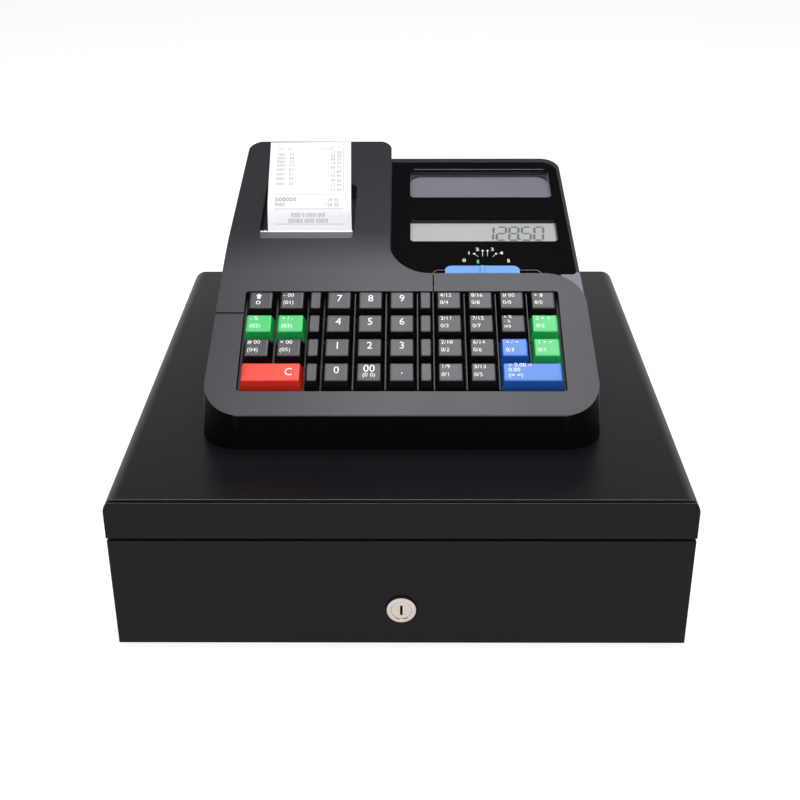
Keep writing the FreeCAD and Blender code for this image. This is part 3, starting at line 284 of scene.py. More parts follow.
def dressNode(node, body, material, given):
    user = {**dressDefaults, **given}
    paints, edgePaints = user["paints"], user["edgePaints"]
    builder = bmesh.new()
    builder.from_mesh(nodes[node].data)
    bmesh.ops.remove_doubles(builder, verts=builder.verts, dist=user["merge"] * mm)
    bmesh.ops.dissolve_limit(builder, angle_limit=math.radians(user["flat"]),
                             verts=builder.verts, edges=builder.edges)
    for chosen, step in user["shifts"]:
        for vertex in builder.verts:
            if chosen(vertex.co / mm):
                vertex.co += Vector(step) * mm
    for point, way, chosen in user["cuts"]:
        faces = [face for face in builder.faces if chosen(bmeshCenter(face), face.normal)]
        parts = {item for face in faces for item in (*face.edges, *face.verts)}
        bmesh.ops.bisect_plane(builder, geom=[*faces, *parts], plane_co=Vector(point) * mm,
                               plane_no=way)
    builder.normal_update()
    for face in builder.faces:
        face.material_index = 0
    paintFaces(builder.faces, bmeshCenter, paints, 1)
    materials = [material] + [name for name, _ in (*paints, *edgePaints)]
    piece = addObject(node + "_dressed", meshFrom(node + "_dressed", builder, materials))
    bevel = piece.modifiers.new("softEdges", "BEVEL")
    bevel.width = user["edge"] * mm
    bevel.segments = user["segments"]
    bevel.limit_method = "ANGLE"
    bevel.angle_limit = math.radians(user["limit"])
    bevel.use_clamp_overlap = True
    weighted = piece.modifiers.new("flatFaces", "WEIGHTED_NORMAL")
    weighted.mode = "FACE_AREA"
    weighted.weight = 100
    weighted.keep_sharp = True
    piece.data.shade_smooth()
    applyModifiers(piece)
    paintFaces(piece.data.polygons, meshCenter, edgePaints, 1 + len(paints))
    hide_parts(node)
    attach(piece, body)


plainAngle = 38


def paintNode(node, material):
    mesh = nodes[node].data
    mesh.materials.clear()
    mesh.materials.append(surfaces[material])
    smoothMesh(mesh, plainAngle)


# Flat printing: a place function turns two lengths in millimetres into a point in metres

textDefaults = {"align": "CENTER", "spacing": 1.0, "weight": 0.0, "narrow": 1.0,
                "resolution": 3}


def addText(builder, words, given, place, slotIndex):
    user = {**textDefaults, **given}
    curve = bpy.data.curves.new("words", "FONT")
    curve.body = words
    curve.size = user["size"]
    curve.align_x = user["align"]
    curve.align_y = "CENTER"
    curve.resolution_u = user["resolution"]
    curve.space_character = user["spacing"]
    curve.offset = user["weight"]
    holder = addObject("words", curve)
    bpy.context.view_layer.update()
    graph = bpy.context.evaluated_depsgraph_get()
    mesh = bpy.data.meshes.new_from_object(holder.evaluated_get(graph))
    vertices = [builder.verts.new(place(v.co.x * user["narrow"], v.co.y))
                for v in mesh.vertices]
    for polygon in mesh.polygons:
        face = builder.faces.new([vertices[i] for i in polygon.vertices])
        face.material_index = slotIndex
    bpy.data.objects.remove(holder)
    bpy.data.curves.remove(curve)
    bpy.data.meshes.remove(mesh)


def addPolygon(builder, points, place, slotIndex):
    face = builder.faces.new([builder.verts.new(place(x, y)) for x, y in points])
    face.material_index = slotIndex


def addRectangle(builder, low, size, place, slotIndex):
    (x, y), (wide, tall) = low, size
    corners = [(x, y), (x + wide, y), (x + wide, y + tall), (x, y + tall)]
    addPolygon(builder, corners, place, slotIndex)


def addBar(builder, start, end, width, place, slotIndex):
    start, end = Vector(start), Vector(end)
    way = (end - start).normalized()
    side = Vector((-way.y, way.x)) * width / 2
    corners = [start - side, end - side, end + side, start + side]
    addPolygon(builder, corners, place, slotIndex)


def arcPoints(center, radius, start, turn, steps):
    angles = [math.radians(start + turn * k / steps) for k in range(steps + 1)]
    return [(center[0] + radius * math.cos(a), center[1] + radius * math.sin(a))
            for a in angles]


# Key caps. Along the keyboard: s up the slope, h out of it, both in millimetres

keyAxis = Vector(next(j["axis"] for j in frame["joints"] if j["name"] == "digit_5_press"))
keyOut = -keyAxis.normalized()
keyUp = Vector((1, 0, 0)).cross(-keyOut).normalized()
if keyUp.z < 0:
    keyUp.negate()


def capExtents(node):
    points = [vertex.co for vertex in nodes[node].data.vertices]
    xs = [point.x / mm for point in points]
    along = [point.dot(keyUp) / mm for point in points]
    out = [point.dot(keyOut) / mm for point in points]
    return min(xs), max(xs), min(along), max(along), max(out)


def atKeys(x, s, h):
    return (Vector((x, 0, 0)) + keyUp * s + keyOut * h) * mm


def roundRing(halfX, halfS, radius, user):
    insetX, insetS = halfX - radius, halfS - radius
    corners = (((insetX, -insetS), -90), ((insetX, insetS), 0), ((-insetX, insetS), 90),
               ((-insetX, -insetS), 180))
    arcs = [arcPoints(center, radius, start, 90, user["perCorner"])
            for center, start in corners]
    points = []
    for arc, following in zip(arcs, arcs[1:] + arcs[:1]):
        points += arc
        (lastX, lastS), (nextX, nextS) = arc[-1], following[0]
        for k in range(1, user["perSide"]):
            share = k / user["perSide"]
            points.append((lastX + (nextX - lastX) * share, lastS + (nextS - lastS) * share))
    return points


capShape = {"rise": 8.0, "sideTaper": 2.05, "brightTaper": 1.55, "endTaper": 2.37,
            "dish": 0.12, "dishSpan": 7.1, "edge": 0.6, "corner": 0.8, "footCorner": 1.0,
            "perCorner": 4, "perSide": 8, "steps": (0, 0.3, 0.6, 1.0),
            "inner": (0.82, 0.6, 0.36, 0.14)}


def addCap(builder, extents, user, sideTaper):
    x0, x1, s0, s1, top = extents
    middle = ((x0 + x1) / 2, (s0 + s1) / 2)
    faceX, faceS = (x1 - x0) / 2 - sideTaper, (s1 - s0) / 2 - user["endTaper"]
    dishSpan = min(faceX, user["dishSpan"])
    edge, corner = user["edge"], user["corner"]

    def surfaceHeight(x):
        reach = max(0.0, abs(x) - (faceX - dishSpan)) / dishSpan
        return top - user["dish"] * (1 - reach * reach)

    tapers = (sideTaper, user["endTaper"])
    foot = roundRing(faceX + tapers[0], faceS + tapers[1], user["footCorner"], user)
    rings = [[(x, s, top - user["rise"]) for x, s in foot]]
    for t in user["steps"]:
        drop = edge * (1 - t) ** 2
        grow = [taper / user["rise"] * drop - edge * t * t for taper in tapers]
        ring = roundRing(faceX + grow[0], faceS + grow[1], corner, user)
        rings.append([(x, s, surfaceHeight(min(abs(x), faceX)) - drop) for x, s in ring])
    inner = roundRing(faceX - edge, faceS - edge, corner, user)
    for share in user["inner"]:
        rings.append([(x * share, s * share, surfaceHeight(x * share)) for x, s in inner])
    made = [[builder.verts.new(atKeys(middle[0] + x, middle[1] + s, h)) for x, s, h in ring]
            for ring in rings]
    for level, (low, high) in enumerate(zip(made, made[1:])):
        for i in range(len(low)):
            j = (i + 1) % len(low)
            quad = builder.faces.new((low[i], low[j], high[j], high[i]))
            # The skirt, from the foot to the first ring, takes slot 2: a darker copy of the cap's
            # colour, painted shade
            quad.material_index = 2 if level == 0 else 0
    builder.faces.new(made[-1])
    builder.faces.new(list(reversed(made[0])))
    return middle, surfaceHeight


legendProud = 0.05


def legendPlace(middle, surfaceHeight, offset):
    def place(u, v):
        x, s = offset[0] + u, offset[1] + v
        return atKeys(middle[0] + x, middle[1] + s, surfaceHeight(x) + legendProud)
    return place


arrowShape = {"half": 2.0, "tall": 4.4, "stem": 0.95, "place": (-1.4, 3.2),
              "ringPlace": (-1.6, -2.2), "ringOuter": 1.5, "ringInner": 0.95, "sides": 16}


def addArrow(builder, middle, surfaceHeight, user):
    half, tall, stem = user["half"], user["tall"], user["stem"]
    place = legendPlace(middle, surfaceHeight, user["place"])
    addPolygon(builder, [(-half, 0), (half, 0), (0, tall / 2)], place, 1)
    addRectangle(builder, (-stem, -tall / 2), (2 * stem, tall / 2), place, 1)
    place = legendPlace(middle, surfaceHeight, user["ringPlace"])
    inner, outer = (arcPoints((0, 0), user[name], 0, 360, user["sides"])
                    for name in ("ringInner", "ringOuter"))
    for k in range(user["sides"]):
        addPolygon(builder, [inner[k], outer[k], outer[k + 1], inner[k + 1]], place, 1)


# Legends: plain numbers, signs and one letter, as (words, text values, place on the cap)

bigDigit = {"size": 7.9, "narrow": 0.92}
pointDigit = {"size": 9.0, "narrow": 0.92}
clearLetter = {"size": 8.0, "narrow": 0.88}
lineMark = {"size": 4.2, "align": "LEFT"}
smallLine = {"size": 3.3, "align": "LEFT"}
middleMark = {"size": 4.2}
legends = {"digit_" + digit: [(digit, bigDigit, (0.1, 1.1))] for digit in "0123456789"}
legends["digit_00"] = [("00", bigDigit, (0.1, 2.3)), ("(0 0)", middleMark, (0.0, -2.5))]
legends["digit_point"] = [(".", pointDigit, (0.1, 1.2))]
legends["clear"] = [("C", clearLetter, (10.6, -0.3))]
functionLines = {
    "void": ("- 00", "(01)"), "percent": ("- %", "(02)"), "refund": ("+ / -", "(03)"),
    "clerk": ("# 00", "(04)"), "quantity": ("× 00", "(05)"), "plu": ("# 00", "0/0"),
    "dept_shift": ("+ 8", "8/0"), "tax_shift": ("+ %", "- %", "0/0"),
    "check": ("2 + +", "0/2"), "charge": ("1 + +", "0/1"), "subtotal": ("= / =", "0/3"),
    "total": ("= 0.00 =", "0.00", "(= =)")}
functionLines.update({"dept_%d" % k: ("%d/%d" % (k, k + 8), "0/%d" % k)
                      for k in range(1, 9)})
lineRows = {2: (3.9, -2.2), 3: (5.2, 1.5, -2.7)}
lineLeft = {"total": -14.6}
usualLeft = -5.7
for name, lines in functionLines.items():
    left = lineLeft.get(name, usualLeft)
    style = smallLine if name == "tax_shift" else lineMark
    legends[name] = [(words, style, (left, height))
                     for words, height in zip(lines, lineRows[len(lines)])]
keyColors = {"percent": "keyGreen", "refund": "keyGreen", "check": "keyGreen",
             "charge": "keyGreen", "clear": "keyRed", "subtotal": "keyBlue",
             "total": "keyBlue"}
capAngle = 50
pressed = "_press"
keyNames = [j["name"][:-len(pressed)] for j in frame["joints"] if j["name"].endswith(pressed)]
for keyName in keyNames:
    node = "key_" + keyName
    color = keyColors.get(keyName, "keyDark")
    # The skirt's colour is the darker side copy of the cap's colour, painted shade
    side = color.replace("key", "side")
    taper = capShape["sideTaper" if color == "keyDark" else "brightTaper"]
    builder = bmesh.new()
    middle, surfaceHeight = addCap(builder, capExtents(node), capShape, taper)
    for words, style, offset in legends.get(keyName, []):
        addText(builder, words, style, legendPlace(middle, surfaceHeight, offset), 1)
    if keyName == "feed":
        addArrow(builder, middle, surfaceHeight, arrowShape)
    finishMesh(node + "_cap", builder, "button_" + keyName,
               [color, "legendWhite", side], [node], capAngle)
print("keys made", len(keyNames))

blankShape = {**capShape, "corner": 1.0, "taper": 1.5, "gap": 1.0, "dish": 0.05,
              "edge": 0.55, "rows": ("key_digit_7", "key_digit_4", "key_digit_1", "key_digit_0"),
              "between": (("key_void", "key_digit_7"), ("key_digit_9", "key_dept_4"))}
blankBuilder = bmesh.new()
for leftNode, rightNode in blankShape["between"]:
    left = capExtents(leftNode)[1] + blankShape["gap"]
    right = capExtents(rightNode)[0] - blankShape["gap"]
    for rowNode in blankShape["rows"]:
        _, _, s0, s1, top = capExtents(rowNode)
        addCap(blankBuilder, (left, right, s0, s1, top), blankShape, blankShape["taper"])
# The blank caps' skirts take the darker side colour, painted shade
finishMesh("blank_caps_rounded", blankBuilder, "register",
           ["keyDark", "legendWhite", "sideDark"], ["blank_caps"], capAngle)
print("blank caps made")


# Shells. Each test picks faces by their centre in millimetres and their normal

lid = {"front": -175, "lean": 0.35, "straight": 0.3}
deck = {"lean": -0.27, "leanSpan": 0.03, "level": 0.9, "right": 100, "front": 0,
        "cutFront": -0.5}
skirt = {"steep": 0.3, "forward": -0.3, "reach": 60}
seam = {"low": 130, "row": (-46.8, -45.0), "rowEnd": 25, "level": 0.2,
        "column": (19.4, 21.2), "columnFront": -50, "coverFront": -44.6, "coverRight": 19.0,
        "rowLip": (-45.9, -45.3), "rowLipEnd": 19.0, "rowShift": (0, -0.55, -0.26),
        "columnLip": (19.7, 20.3), "columnLipFront": -46.5, "columnShift": (0.45, 0, 0)}
bar = {"cut": 24.2, "rear": 24.3, "above": -0.5}
plugFace = -177.2


def within(value, span):
    return span[0] < value < span[1]


# Bevel faces along the lid's front top edge, which get the pale painted highlight
def lidHighlightEdge(center, normal):
    leaning = normal.y < -lid["lean"] and normal.z > lid["lean"]
    return leaning and abs(normal.x) < lid["straight"] and center.y < lid["front"]


def deckFace(center, normal):
    return abs(normal.y - deck["lean"]) < deck["leanSpan"] and normal.z > deck["level"]


# The deck's corner right of the slider, which gets the pale painted reflection
def deckReflectionPatch(center, normal):
    return deckFace(center, normal) and center.x > deck["right"] and center.y < deck["front"]


# Front-facing walls of upper_case, which get painted shade
def shadedFrontWall(center, normal):
    reach = center.x * normal.x + center.y * normal.y
    facing = abs(normal.z) < skirt["steep"] and normal.y < skirt["forward"]
    return facing and reach > skirt["reach"]


# Faces of upper_case along its parting gaps, which get black painted shade
def caseSeamShade(center, normal):
    level = center.x < seam["rowEnd"] and normal.z > seam["level"]
    row = within(center.y, seam["row"]) and level
    column = within(center.x, seam["column"]) and center.y > seam["columnFront"]
    return (row or column) and center.z > seam["low"]


# Front and right edge faces of the printer cover along its gaps, which get black painted shade
def coverSeamShade(center, normal):
    return center.y < seam["coverFront"] or center.x > seam["coverRight"]


# Faces of the tear bar behind the cut, its rear edge, which get the white painted highlight
def barHighlightFaces(center, normal):
    return center.y > bar["rear"] and normal.z > bar["above"]


def anyFace(center, normal):
    return True


def rowLip(point):
    return within(point.y, seam["rowLip"]) and point.x < seam["rowLipEnd"]


def columnLip(point):
    return within(point.x, seam["columnLip"]) and point.y > seam["columnLipFront"]


dressNode("case_cover", "register", "casePaint",
          {"edge": 0.7, "segments": 3, "limit": 50, "edgePaints": [("lidEdgeHighlight", lidHighlightEdge)]})
dressNode("case_base", "register", "casePaint", {"edge": 0.3})
dressNode("drawer_box", "drawer", "casePaint", {"edge": 0.5, "limit": 50})
# upper_case: the cuts split the deck faces round the painted reflection patch, the front walls get
# painted shade, the faces along the parting gaps get black painted shade, and the shifts widen
# those gaps.
dressNode("upper_case", "register", "bodyPlastic",
          {"edge": 0.5,
           "shifts": [(rowLip, seam["rowShift"]), (columnLip, seam["columnShift"])],
           "cuts": [((deck["right"], 0, 0), (1, 0, 0), deckFace),
                    ((0, deck["cutFront"], 0), (0, 1, 0), deckFace)],
           "paints": [("deckReflection", deckReflectionPatch), ("skirtBlackShade", shadedFrontWall)],
           "edgePaints": [("seamShade", caseSeamShade)]})
dressNode("printer_cover", "cover", "bodyPlastic",
          {"edge": 0.45, "edgePaints": [("seamShade", coverSeamShade)]})
# lower_case takes the near-black plastic as its own colour
dressNode("lower_case", "register", "skirtBlackShade", {"edge": 0.4})
dressNode("tear_bar", "cover", "barFrost",
          {"edge": 0.25, "cuts": [((0, bar["cut"], 0), (0, 1, 0), anyFace)],
           "paints": [("barEdgeHighlight", barHighlightFaces)]})
dressNode("display_panel", "register", "panelGloss", {"edge": 0.25})
dressNode("mode_slider", "mode", "sliderBlue", {"edge": 0.5, "segments": 3})
plainNodes = {"keyboard_frame": "framePlastic", "rubber_feet": "blackRubber",
              "till_insert": "tillPlastic", "bill_clip_1": "sprungSteel",
              "bill_clip_2": "sprungSteel", "bill_clip_3": "sprungSteel",
              "bill_clip_4": "sprungSteel", "drawer_latch": "sprungSteel",
              "printer_mechanism": "sprungSteel", "platen_roller": "blackRubber",
              "paper_roll": "paperWhite", "display_windows": "clearPane",
              "lock_plug": "lockNickel", "lcd_modules": "lcdFrame"}
for node, material in plainNodes.items():
    paintNode(node, material)
plugMesh = nodes["lock_plug"].data
plugMesh.materials.append(surfaces["lockShade"])
# The plug's faces behind its front face, the keyway inside, get painted shade
for face in plugMesh.polygons:
    if meshCenter(face).y > plugFace:
        face.material_index = 1
print("shells dressed")


# Display: planes parallel to the sloping panel. Depth counts into the panel

panelSlope = {"angle": 15.5, "zeroHeight": 171.0}
panelTurn = math.radians(panelSlope["angle"])
panelOut = Vector((0, -math.sin(panelTurn), math.cos(panelTurn)))


def atPanel(x, y, depth):
    on = Vector((x, y, panelSlope["zeroHeight"] + y * math.tan(panelTurn)))
    return (on - panelOut * depth) * mm


def depthPlace(depth):
    return lambda x, y: atPanel(x, y, depth)


windows = {"left": 5.4, "right": 105.4, "lower": (33.6, 61.2), "upper": (85.2, 121.0),
           "lcdDepth": 4.37, "plateDepth": 5.97, "inset": 0.1, "lcdCorner": 1.0,
           "plateCorner": 9.0, "perCorner": 8, "wallInset": 0.15, "wallEnd": 3,
           "wallTop": 0.1, "inkDepth": 4.34}


def windowOutline(front, rear, rounding):
    edge = windows["inset"]
    left, right = windows["left"] + edge, windows["right"] - edge
    low, high = front + edge, rear - edge
    outline = [(left, low), (right, low)]
    for x, start in ((right - rounding, 0), (left + rounding, 90)):
        outline += arcPoints((x, high - rounding), rounding, start, 90, windows["perCorner"])
    return outline


lcdBuilder = bmesh.new()
addPolygon(lcdBuilder, windowOutline(*windows["lower"], windows["lcdCorner"]),
           depthPlace(windows["lcdDepth"]), 0)
addPolygon(lcdBuilder, windowOutline(*windows["upper"], windows["plateCorner"]),
           depthPlace(windows["plateDepth"]), 1)
wallFront, wallRear = (windows["upper"][0] + windows["wallInset"],
                       windows["upper"][1] - windows["wallInset"])
wallRight, wallEnd = windows["right"] - windows["wallInset"], windows["wallEnd"]
walls = (((windows["right"] - wallEnd, wallRear), (windows["left"] + wallEnd, wallRear)),
         ((wallRight, wallFront + wallEnd), (wallRight, wallRear - wallEnd)))
for (x0, y0), (x1, y1) in walls:
    top, low = windows["wallTop"], windows["plateDepth"]
    corners = [(x0, y0, top), (x1, y1, top), (x1, y1, low), (x0, y0, low)]
    wall = lcdBuilder.faces.new([lcdBuilder.verts.new(atPanel(*corner)) for corner in corners])
    wall.material_index = 3

segmentMap = {"0": "abcdef", "1": "bc", "2": "abged", "5": "afgcd", "8": "abcdefg"}
digitShape = {"wide": 6.1, "tall": 15.0, "thick": 1.6, "pitch": 8.55, "slant": 0.085,
              "right": 96.1, "low": 40.7, "gap": 0.35, "pointPlace": (0.8, 0.2),
              "pointSize": (1.2, 1.3)}


def addDigit(builder, character, left, user, place, slotIndex):
    wide, tall, half, gap = user["wide"], user["tall"], user["thick"] / 2, user["gap"]
    mid = tall / 2
    ends = {"a": ((0, tall), (wide, tall)), "b": ((wide, tall), (wide, mid)),
            "c": ((wide, mid), (wide, 0)), "d": ((0, 0), (wide, 0)), "e": ((0, mid), (0, 0)),
            "f": ((0, tall), (0, mid)), "g": ((0, mid), (wide, mid))}
    for name in segmentMap[character]:
        start, end = (Vector(point) for point in ends[name])
        way = (end - start).normalized()
        start, end = start + way * gap, end - way * gap
        way *= half
        side = Vector((-way.y, way.x))
        points = [start, start + way + side, end - way + side, end, end - way - side,
                  start + way - side]
        addPolygon(builder, [(left + p.x + p.y * user["slant"], user["low"] + p.y)
                             for p in points], place, slotIndex)


shownNumber = "128.50"
inkPlace = depthPlace(windows["inkDepth"])
position = digitShape["right"] - digitShape["wide"]
for character in reversed(shownNumber):
    if character == ".":
        stepX, stepY = digitShape["pointPlace"]
        low = (position + digitShape["wide"] + stepX, digitShape["low"] + stepY)
        addRectangle(lcdBuilder, low, digitShape["pointSize"], inkPlace, 2)
        continue
    addDigit(lcdBuilder, character, position, digitShape, inkPlace, 2)
    position -= digitShape["pitch"]
finishMesh("lcd_faces", lcdBuilder, "register",
           ["lcdFace", "plateFace", "lcdInk", "recessWall"])

modeScale = {"lines": (((48.1, 19.7), (50.5, 16.5)), ((53.8, 23.0), (53.5, 16.8)),
                       ((57.1, 23.0), (56.8, 16.8)), ((62.7, 19.7), (60.4, 16.5))),
             "width": 0.25, "dot": 0.75, "dotSides": 16, "lift": 0.03, "dotLift": 0.05,
             "numbers": (("0", 41.1, 12.5), ("1", 44.6, 20.4), ("2", 50.4, 24.4),
                         ("3", 60.4, 24.4), ("4", 66.2, 20.4), ("5", 70.5, 11.9)),
             "text": {"size": 4.8, "weight": 0.03},
             "markLow": (49.45, 9.2), "markSize": (1.5, 3.8)}
printBuilder = bmesh.new()
printPlace, dotPlace = depthPlace(-modeScale["lift"]), depthPlace(-modeScale["dotLift"])
for start, end in modeScale["lines"]:
    addBar(printBuilder, start, end, modeScale["width"], printPlace, 0)
    dot = arcPoints(start, modeScale["dot"], 0, 360, modeScale["dotSides"])[:-1]
    addPolygon(printBuilder, dot, dotPlace, 0)
for words, x, y in modeScale["numbers"]:
    addText(printBuilder, words, modeScale["text"],
            lambda u, v, x=x, y=y: printPlace(x + u, y + v), 0)
addRectangle(printBuilder, modeScale["markLow"], modeScale["markSize"], printPlace, 1)
# A pale line along the cut edge of the slider's bay: a painted highlight
bayHighlightLine = {"left": 20.2, "right": 91.1, "rear": 2.1, "front": -3.0, "width": 0.45,
             "corner": 4.0, "steps": 6}
corner = bayHighlightLine["corner"]
highlightPoints = [(bayHighlightLine["left"], bayHighlightLine["front"])]
for cornerX, start in ((bayHighlightLine["left"] + corner, 180), (bayHighlightLine["right"] - corner, 90)):
    highlightPoints += arcPoints((cornerX, bayHighlightLine["rear"] - corner), corner, start, -90,
                              bayHighlightLine["steps"])
highlightPoints.append((bayHighlightLine["right"], bayHighlightLine["front"]))
for start, end in zip(highlightPoints, highlightPoints[1:]):
    addBar(printBuilder, start, end, bayHighlightLine["width"], printPlace, 2)
finishMesh("panel_print", printBuilder, "register",
           ["legendWhite", "legendGreen", "bayEdgeHighlight"])
print("display made")


# Receipt: a thin curled strip with rows of plain numbers. Along the strip, t counts from the
# tear bar; each step of the path is (radius, degrees), or (length, 0) where it is straight

strip = {"centreX": -61.8, "width": 56.0, "thick": 0.2, "start": (27.0, 171.0),
         "startHeading": 90, "tearEdge": 19.6, "end": 79.5,
         "steps": ((17.09, 0), (6.0, 27), (7.95, 0), (25.0, 38), (55.2, 0)), "across": 12,
         "along": 60, "low": -10.0, "denseFrom": -3.0, "wave": 0.25, "waveFrom": 6.0,
         "waveAlong": 9.0, "waveAcross": 17.0, "lean": -0.028, "inkLift": 0.05,
         "sharp": 30}


def pathPoint(s):
    (y, z), heading = strip["start"], math.radians(strip["startHeading"])
    for size, turn in strip["steps"]:
        length = size * math.radians(turn) if turn else size
        part = min(s, length)
        if turn:
            after = heading - part / size
            y += size * (math.sin(heading) - math.sin(after))
            z += size * (math.cos(after) - math.cos(heading))
            heading = after
        else:
            y, z = y + part * math.cos(heading), z + part * math.sin(heading)
        s -= part
        if s <= 0:
            break
    return y, z, heading


def atStrip(x, t, out):
    y, z, heading = pathPoint(t + strip["tearEdge"])
    rise = max(0.0, t - strip["waveFrom"])
    ripple = math.sin(rise / strip["waveAlong"]) * math.sin(x / strip["waveAcross"])
    reach = out + strip["wave"] * ripple
    across = strip["centreX"] + x + strip["lean"] * max(0.0, t)
    return Vector((across, y - reach * math.sin(heading), z + reach * math.cos(heading))) * mm


def gridBorder(grid):
    return (grid[0] + [row[-1] for row in grid[1:]] + grid[-1][-2::-1]
            + [row[0] for row in grid[-2:0:-1]])


stripBuilder = bmesh.new()
denseLength = strip["end"] - strip["denseFrom"]
stations = [-strip["tearEdge"], strip["low"]] + [
    strip["denseFrom"] + denseLength * k / strip["along"] for k in range(strip["along"] + 1)]
columns = [strip["width"] * (k / strip["across"] - 0.5) for k in range(strip["across"] + 1)]
front, back = ([[stripBuilder.verts.new(atStrip(x, t, side * strip["thick"] / 2))
                 for x in columns] for t in stations] for side in (1, -1))
for grid, outward in ((front, 1), (back, -1)):
    for low, high in zip(grid, grid[1:]):
        for i in range(len(columns) - 1):
            stripBuilder.faces.new([low[i], low[i + 1], high[i + 1], high[i]][::outward])
border, behind = gridBorder(front), gridBorder(back)
for i in range(len(border)):
    j = (i + 1) % len(border)
    stripBuilder.faces.new((border[j], border[i], behind[i], behind[j]))

plainInk = {"size": 4.0, "narrow": 0.72, "align": "LEFT", "spacing": 1.15}
rightInk = {**plainInk, "align": "RIGHT"}
middleInk = {**plainInk, "align": "CENTER"}
smallInk = {"size": 3.0, "narrow": 0.7, "align": "LEFT", "spacing": 1.2}
smallRight = {**smallInk, "align": "RIGHT"}
boldInk = {"size": 4.9, "narrow": 0.86, "align": "LEFT", "spacing": 1.15, "weight": 0.05}
receipt = {
    "itemX": -23.0, "sumX": 21.5,
    "items": (("0001  01", 66.3), ("0001  04", 62.5), ("0001  02", 58.8), ("0001  07", 54.9),
              ("0001  03", 50.6), ("0001  01", 46.0), ("0001  05", 41.6), ("0001  02", 36.6)),
    "sums": (("12 00", 68.4), ("04 50", 64.9), ("08 25", 61.5), ("19 00", 57.4),
             ("06 75", 53.2), ("12 00", 49.0), ("03 40", 44.8), ("09 60", 40.0),
             ("12 00", 35.2), ("12 00", 30.4)),
    "lines": (("29 11 00", smallInk, -22.5, 72.2), ("00 0128", smallRight, 15.0, 72.2),
              ("000000", boldInk, -23.0, 21.6), ("0000", plainInk, -23.0, 17.6),
              ("128 50", rightInk, 19.6, 21.0), ("128 50", rightInk, 19.6, 17.2),
              ("0000 0 0000 000", middleInk, -1.0, 9.9),
              ("000000 0000 00000", middleInk, -1.0, 6.0)),
    "rules": ((74.6, 1.3, 0.7), (26.1, 1.1, 0.85), (14.2, 1.1, 0.85), (3.9, 1.1, 0.85)),
    "ruleLeft": -23.5, "ruleLong": 46.5, "ruleHalf": 0.14,
    "dots": 34, "dotX": 22.6, "dotLow": 29.0, "dotPitch": 1.3, "dotSize": (0.5, 0.6),
    "marks": ((-23.0, 76.2), (-23.0, 77.8), (23.0, 76.2), (23.0, 77.8)), "markSide": 0.7}


def inkPlaceAt(x0, t0):
    lift = strip["thick"] / 2 + strip["inkLift"]
    return lambda u, v: atStrip(x0 + u, t0 + v, lift)


for words, t in receipt["items"]:
    addText(stripBuilder, words, plainInk, inkPlaceAt(receipt["itemX"], t), 1)
for words, t in receipt["sums"]:
    addText(stripBuilder, words, rightInk, inkPlaceAt(receipt["sumX"], t), 1)
for words, style, x, t in receipt["lines"]:
    addText(stripBuilder, words, style, inkPlaceAt(x, t), 1)
for t, pitch, dash in receipt["rules"]:
    half = receipt["ruleHalf"]
    for k in range(int(receipt["ruleLong"] / pitch)):
        addRectangle(stripBuilder, (receipt["ruleLeft"] + k * pitch, -half),
                     (dash, 2 * half), inkPlaceAt(0, t), 1)
for k in range(receipt["dots"]):
    addRectangle(stripBuilder, (receipt["dotX"], 0), receipt["dotSize"],
                 inkPlaceAt(0, receipt["dotLow"] + k * receipt["dotPitch"]), 1)
for x, t in receipt["marks"]:
    wide = receipt["markSide"]
    addRectangle(stripBuilder, (-wide / 2, 0), (wide, wide), inkPlaceAt(x, t), 1)
finishMesh("receipt_strip", stripBuilder, "cover", ["paperWhite", "paperInk"],
           ["receipt_paper"], strip["sharp"])
print("receipt made")


# Lock: turned barrel and face ring, with the horseshoe clip of the CAD node

turned = {"middle": (0, 29.4), "steps": 48, "clip": (-175.7, -172.8),
          "flank": (-177.3, -175.9), "flankRadius": 8.6, "gap": ((6.22, -177.36), (5.86, -177.36)),
          "profile": ((6.2, -177.4), (6.2, -177.9), (6.45, -178.0), (8.5, -177.35),
                      (9.0, -177.05), (9.25, -176.6), (9.3, -176.0), (7.6, -176.0),
                      (7.6, -157.0), (6.0, -157.0), (6.0, -177.4)), "sharp": 40}


def addTurned(builder, profile, user, slotIndex, closed):
    steps, (middleX, middleZ) = user["steps"], user["middle"]
    rings = []
    for radius, y in profile:
        circle = arcPoints((middleX, middleZ), radius, 0, 360, steps)[:-1]
        rings.append([builder.verts.new(Vector((x, y, z)) * mm) for x, z in circle])
    for low, high in zip(rings, rings[1:] + (rings[:1] if closed else [])):
        for k in range(steps):
            j = (k + 1) % steps
            face = builder.faces.new((low[k], low[j], high[j], high[k]))
            face.material_index = slotIndex


lockBuilder = bmesh.new()
lockBuilder.from_mesh(nodes["lock_body"].data)
clipFront, clipRear = turned["clip"]
away = [vertex for vertex in lockBuilder.verts if not clipFront < vertex.co.y / mm < clipRear]
bmesh.ops.delete(lockBuilder, geom=away, context="VERTS")
addTurned(lockBuilder, turned["profile"], turned, 0, True)
bmesh.ops.recalc_face_normals(lockBuilder, faces=lockBuilder.faces)
flankFront, flankRear = turned["flank"]
# The ring's outer flank gets a painted dark reflection
for face in lockBuilder.faces:
    center = bmeshCenter(face)
    radius = math.hypot(center.x, center.z - turned["middle"][1])
    if flankFront < center.y < flankRear and radius > turned["flankRadius"]:
        face.material_index = 1
# A flat ring closing the gap between ring and plug carries painted shade
addTurned(lockBuilder, turned["gap"], turned, 1, False)
finishMesh("lock_ring", lockBuilder, "drawer", ["lockNickel", "lockShade"],
           ["lock_body"], turned["sharp"])
print("lock made")


# Knurl of the thumb wheel, with Geometry Nodes: boxes on a circle, turned outwards

def addSocket(tree, name, kind, value):
    socket = tree.interface.new_socket(name=name, in_out="INPUT", socket_type=kind)
    socket.default_value = value
    return socket.identifier


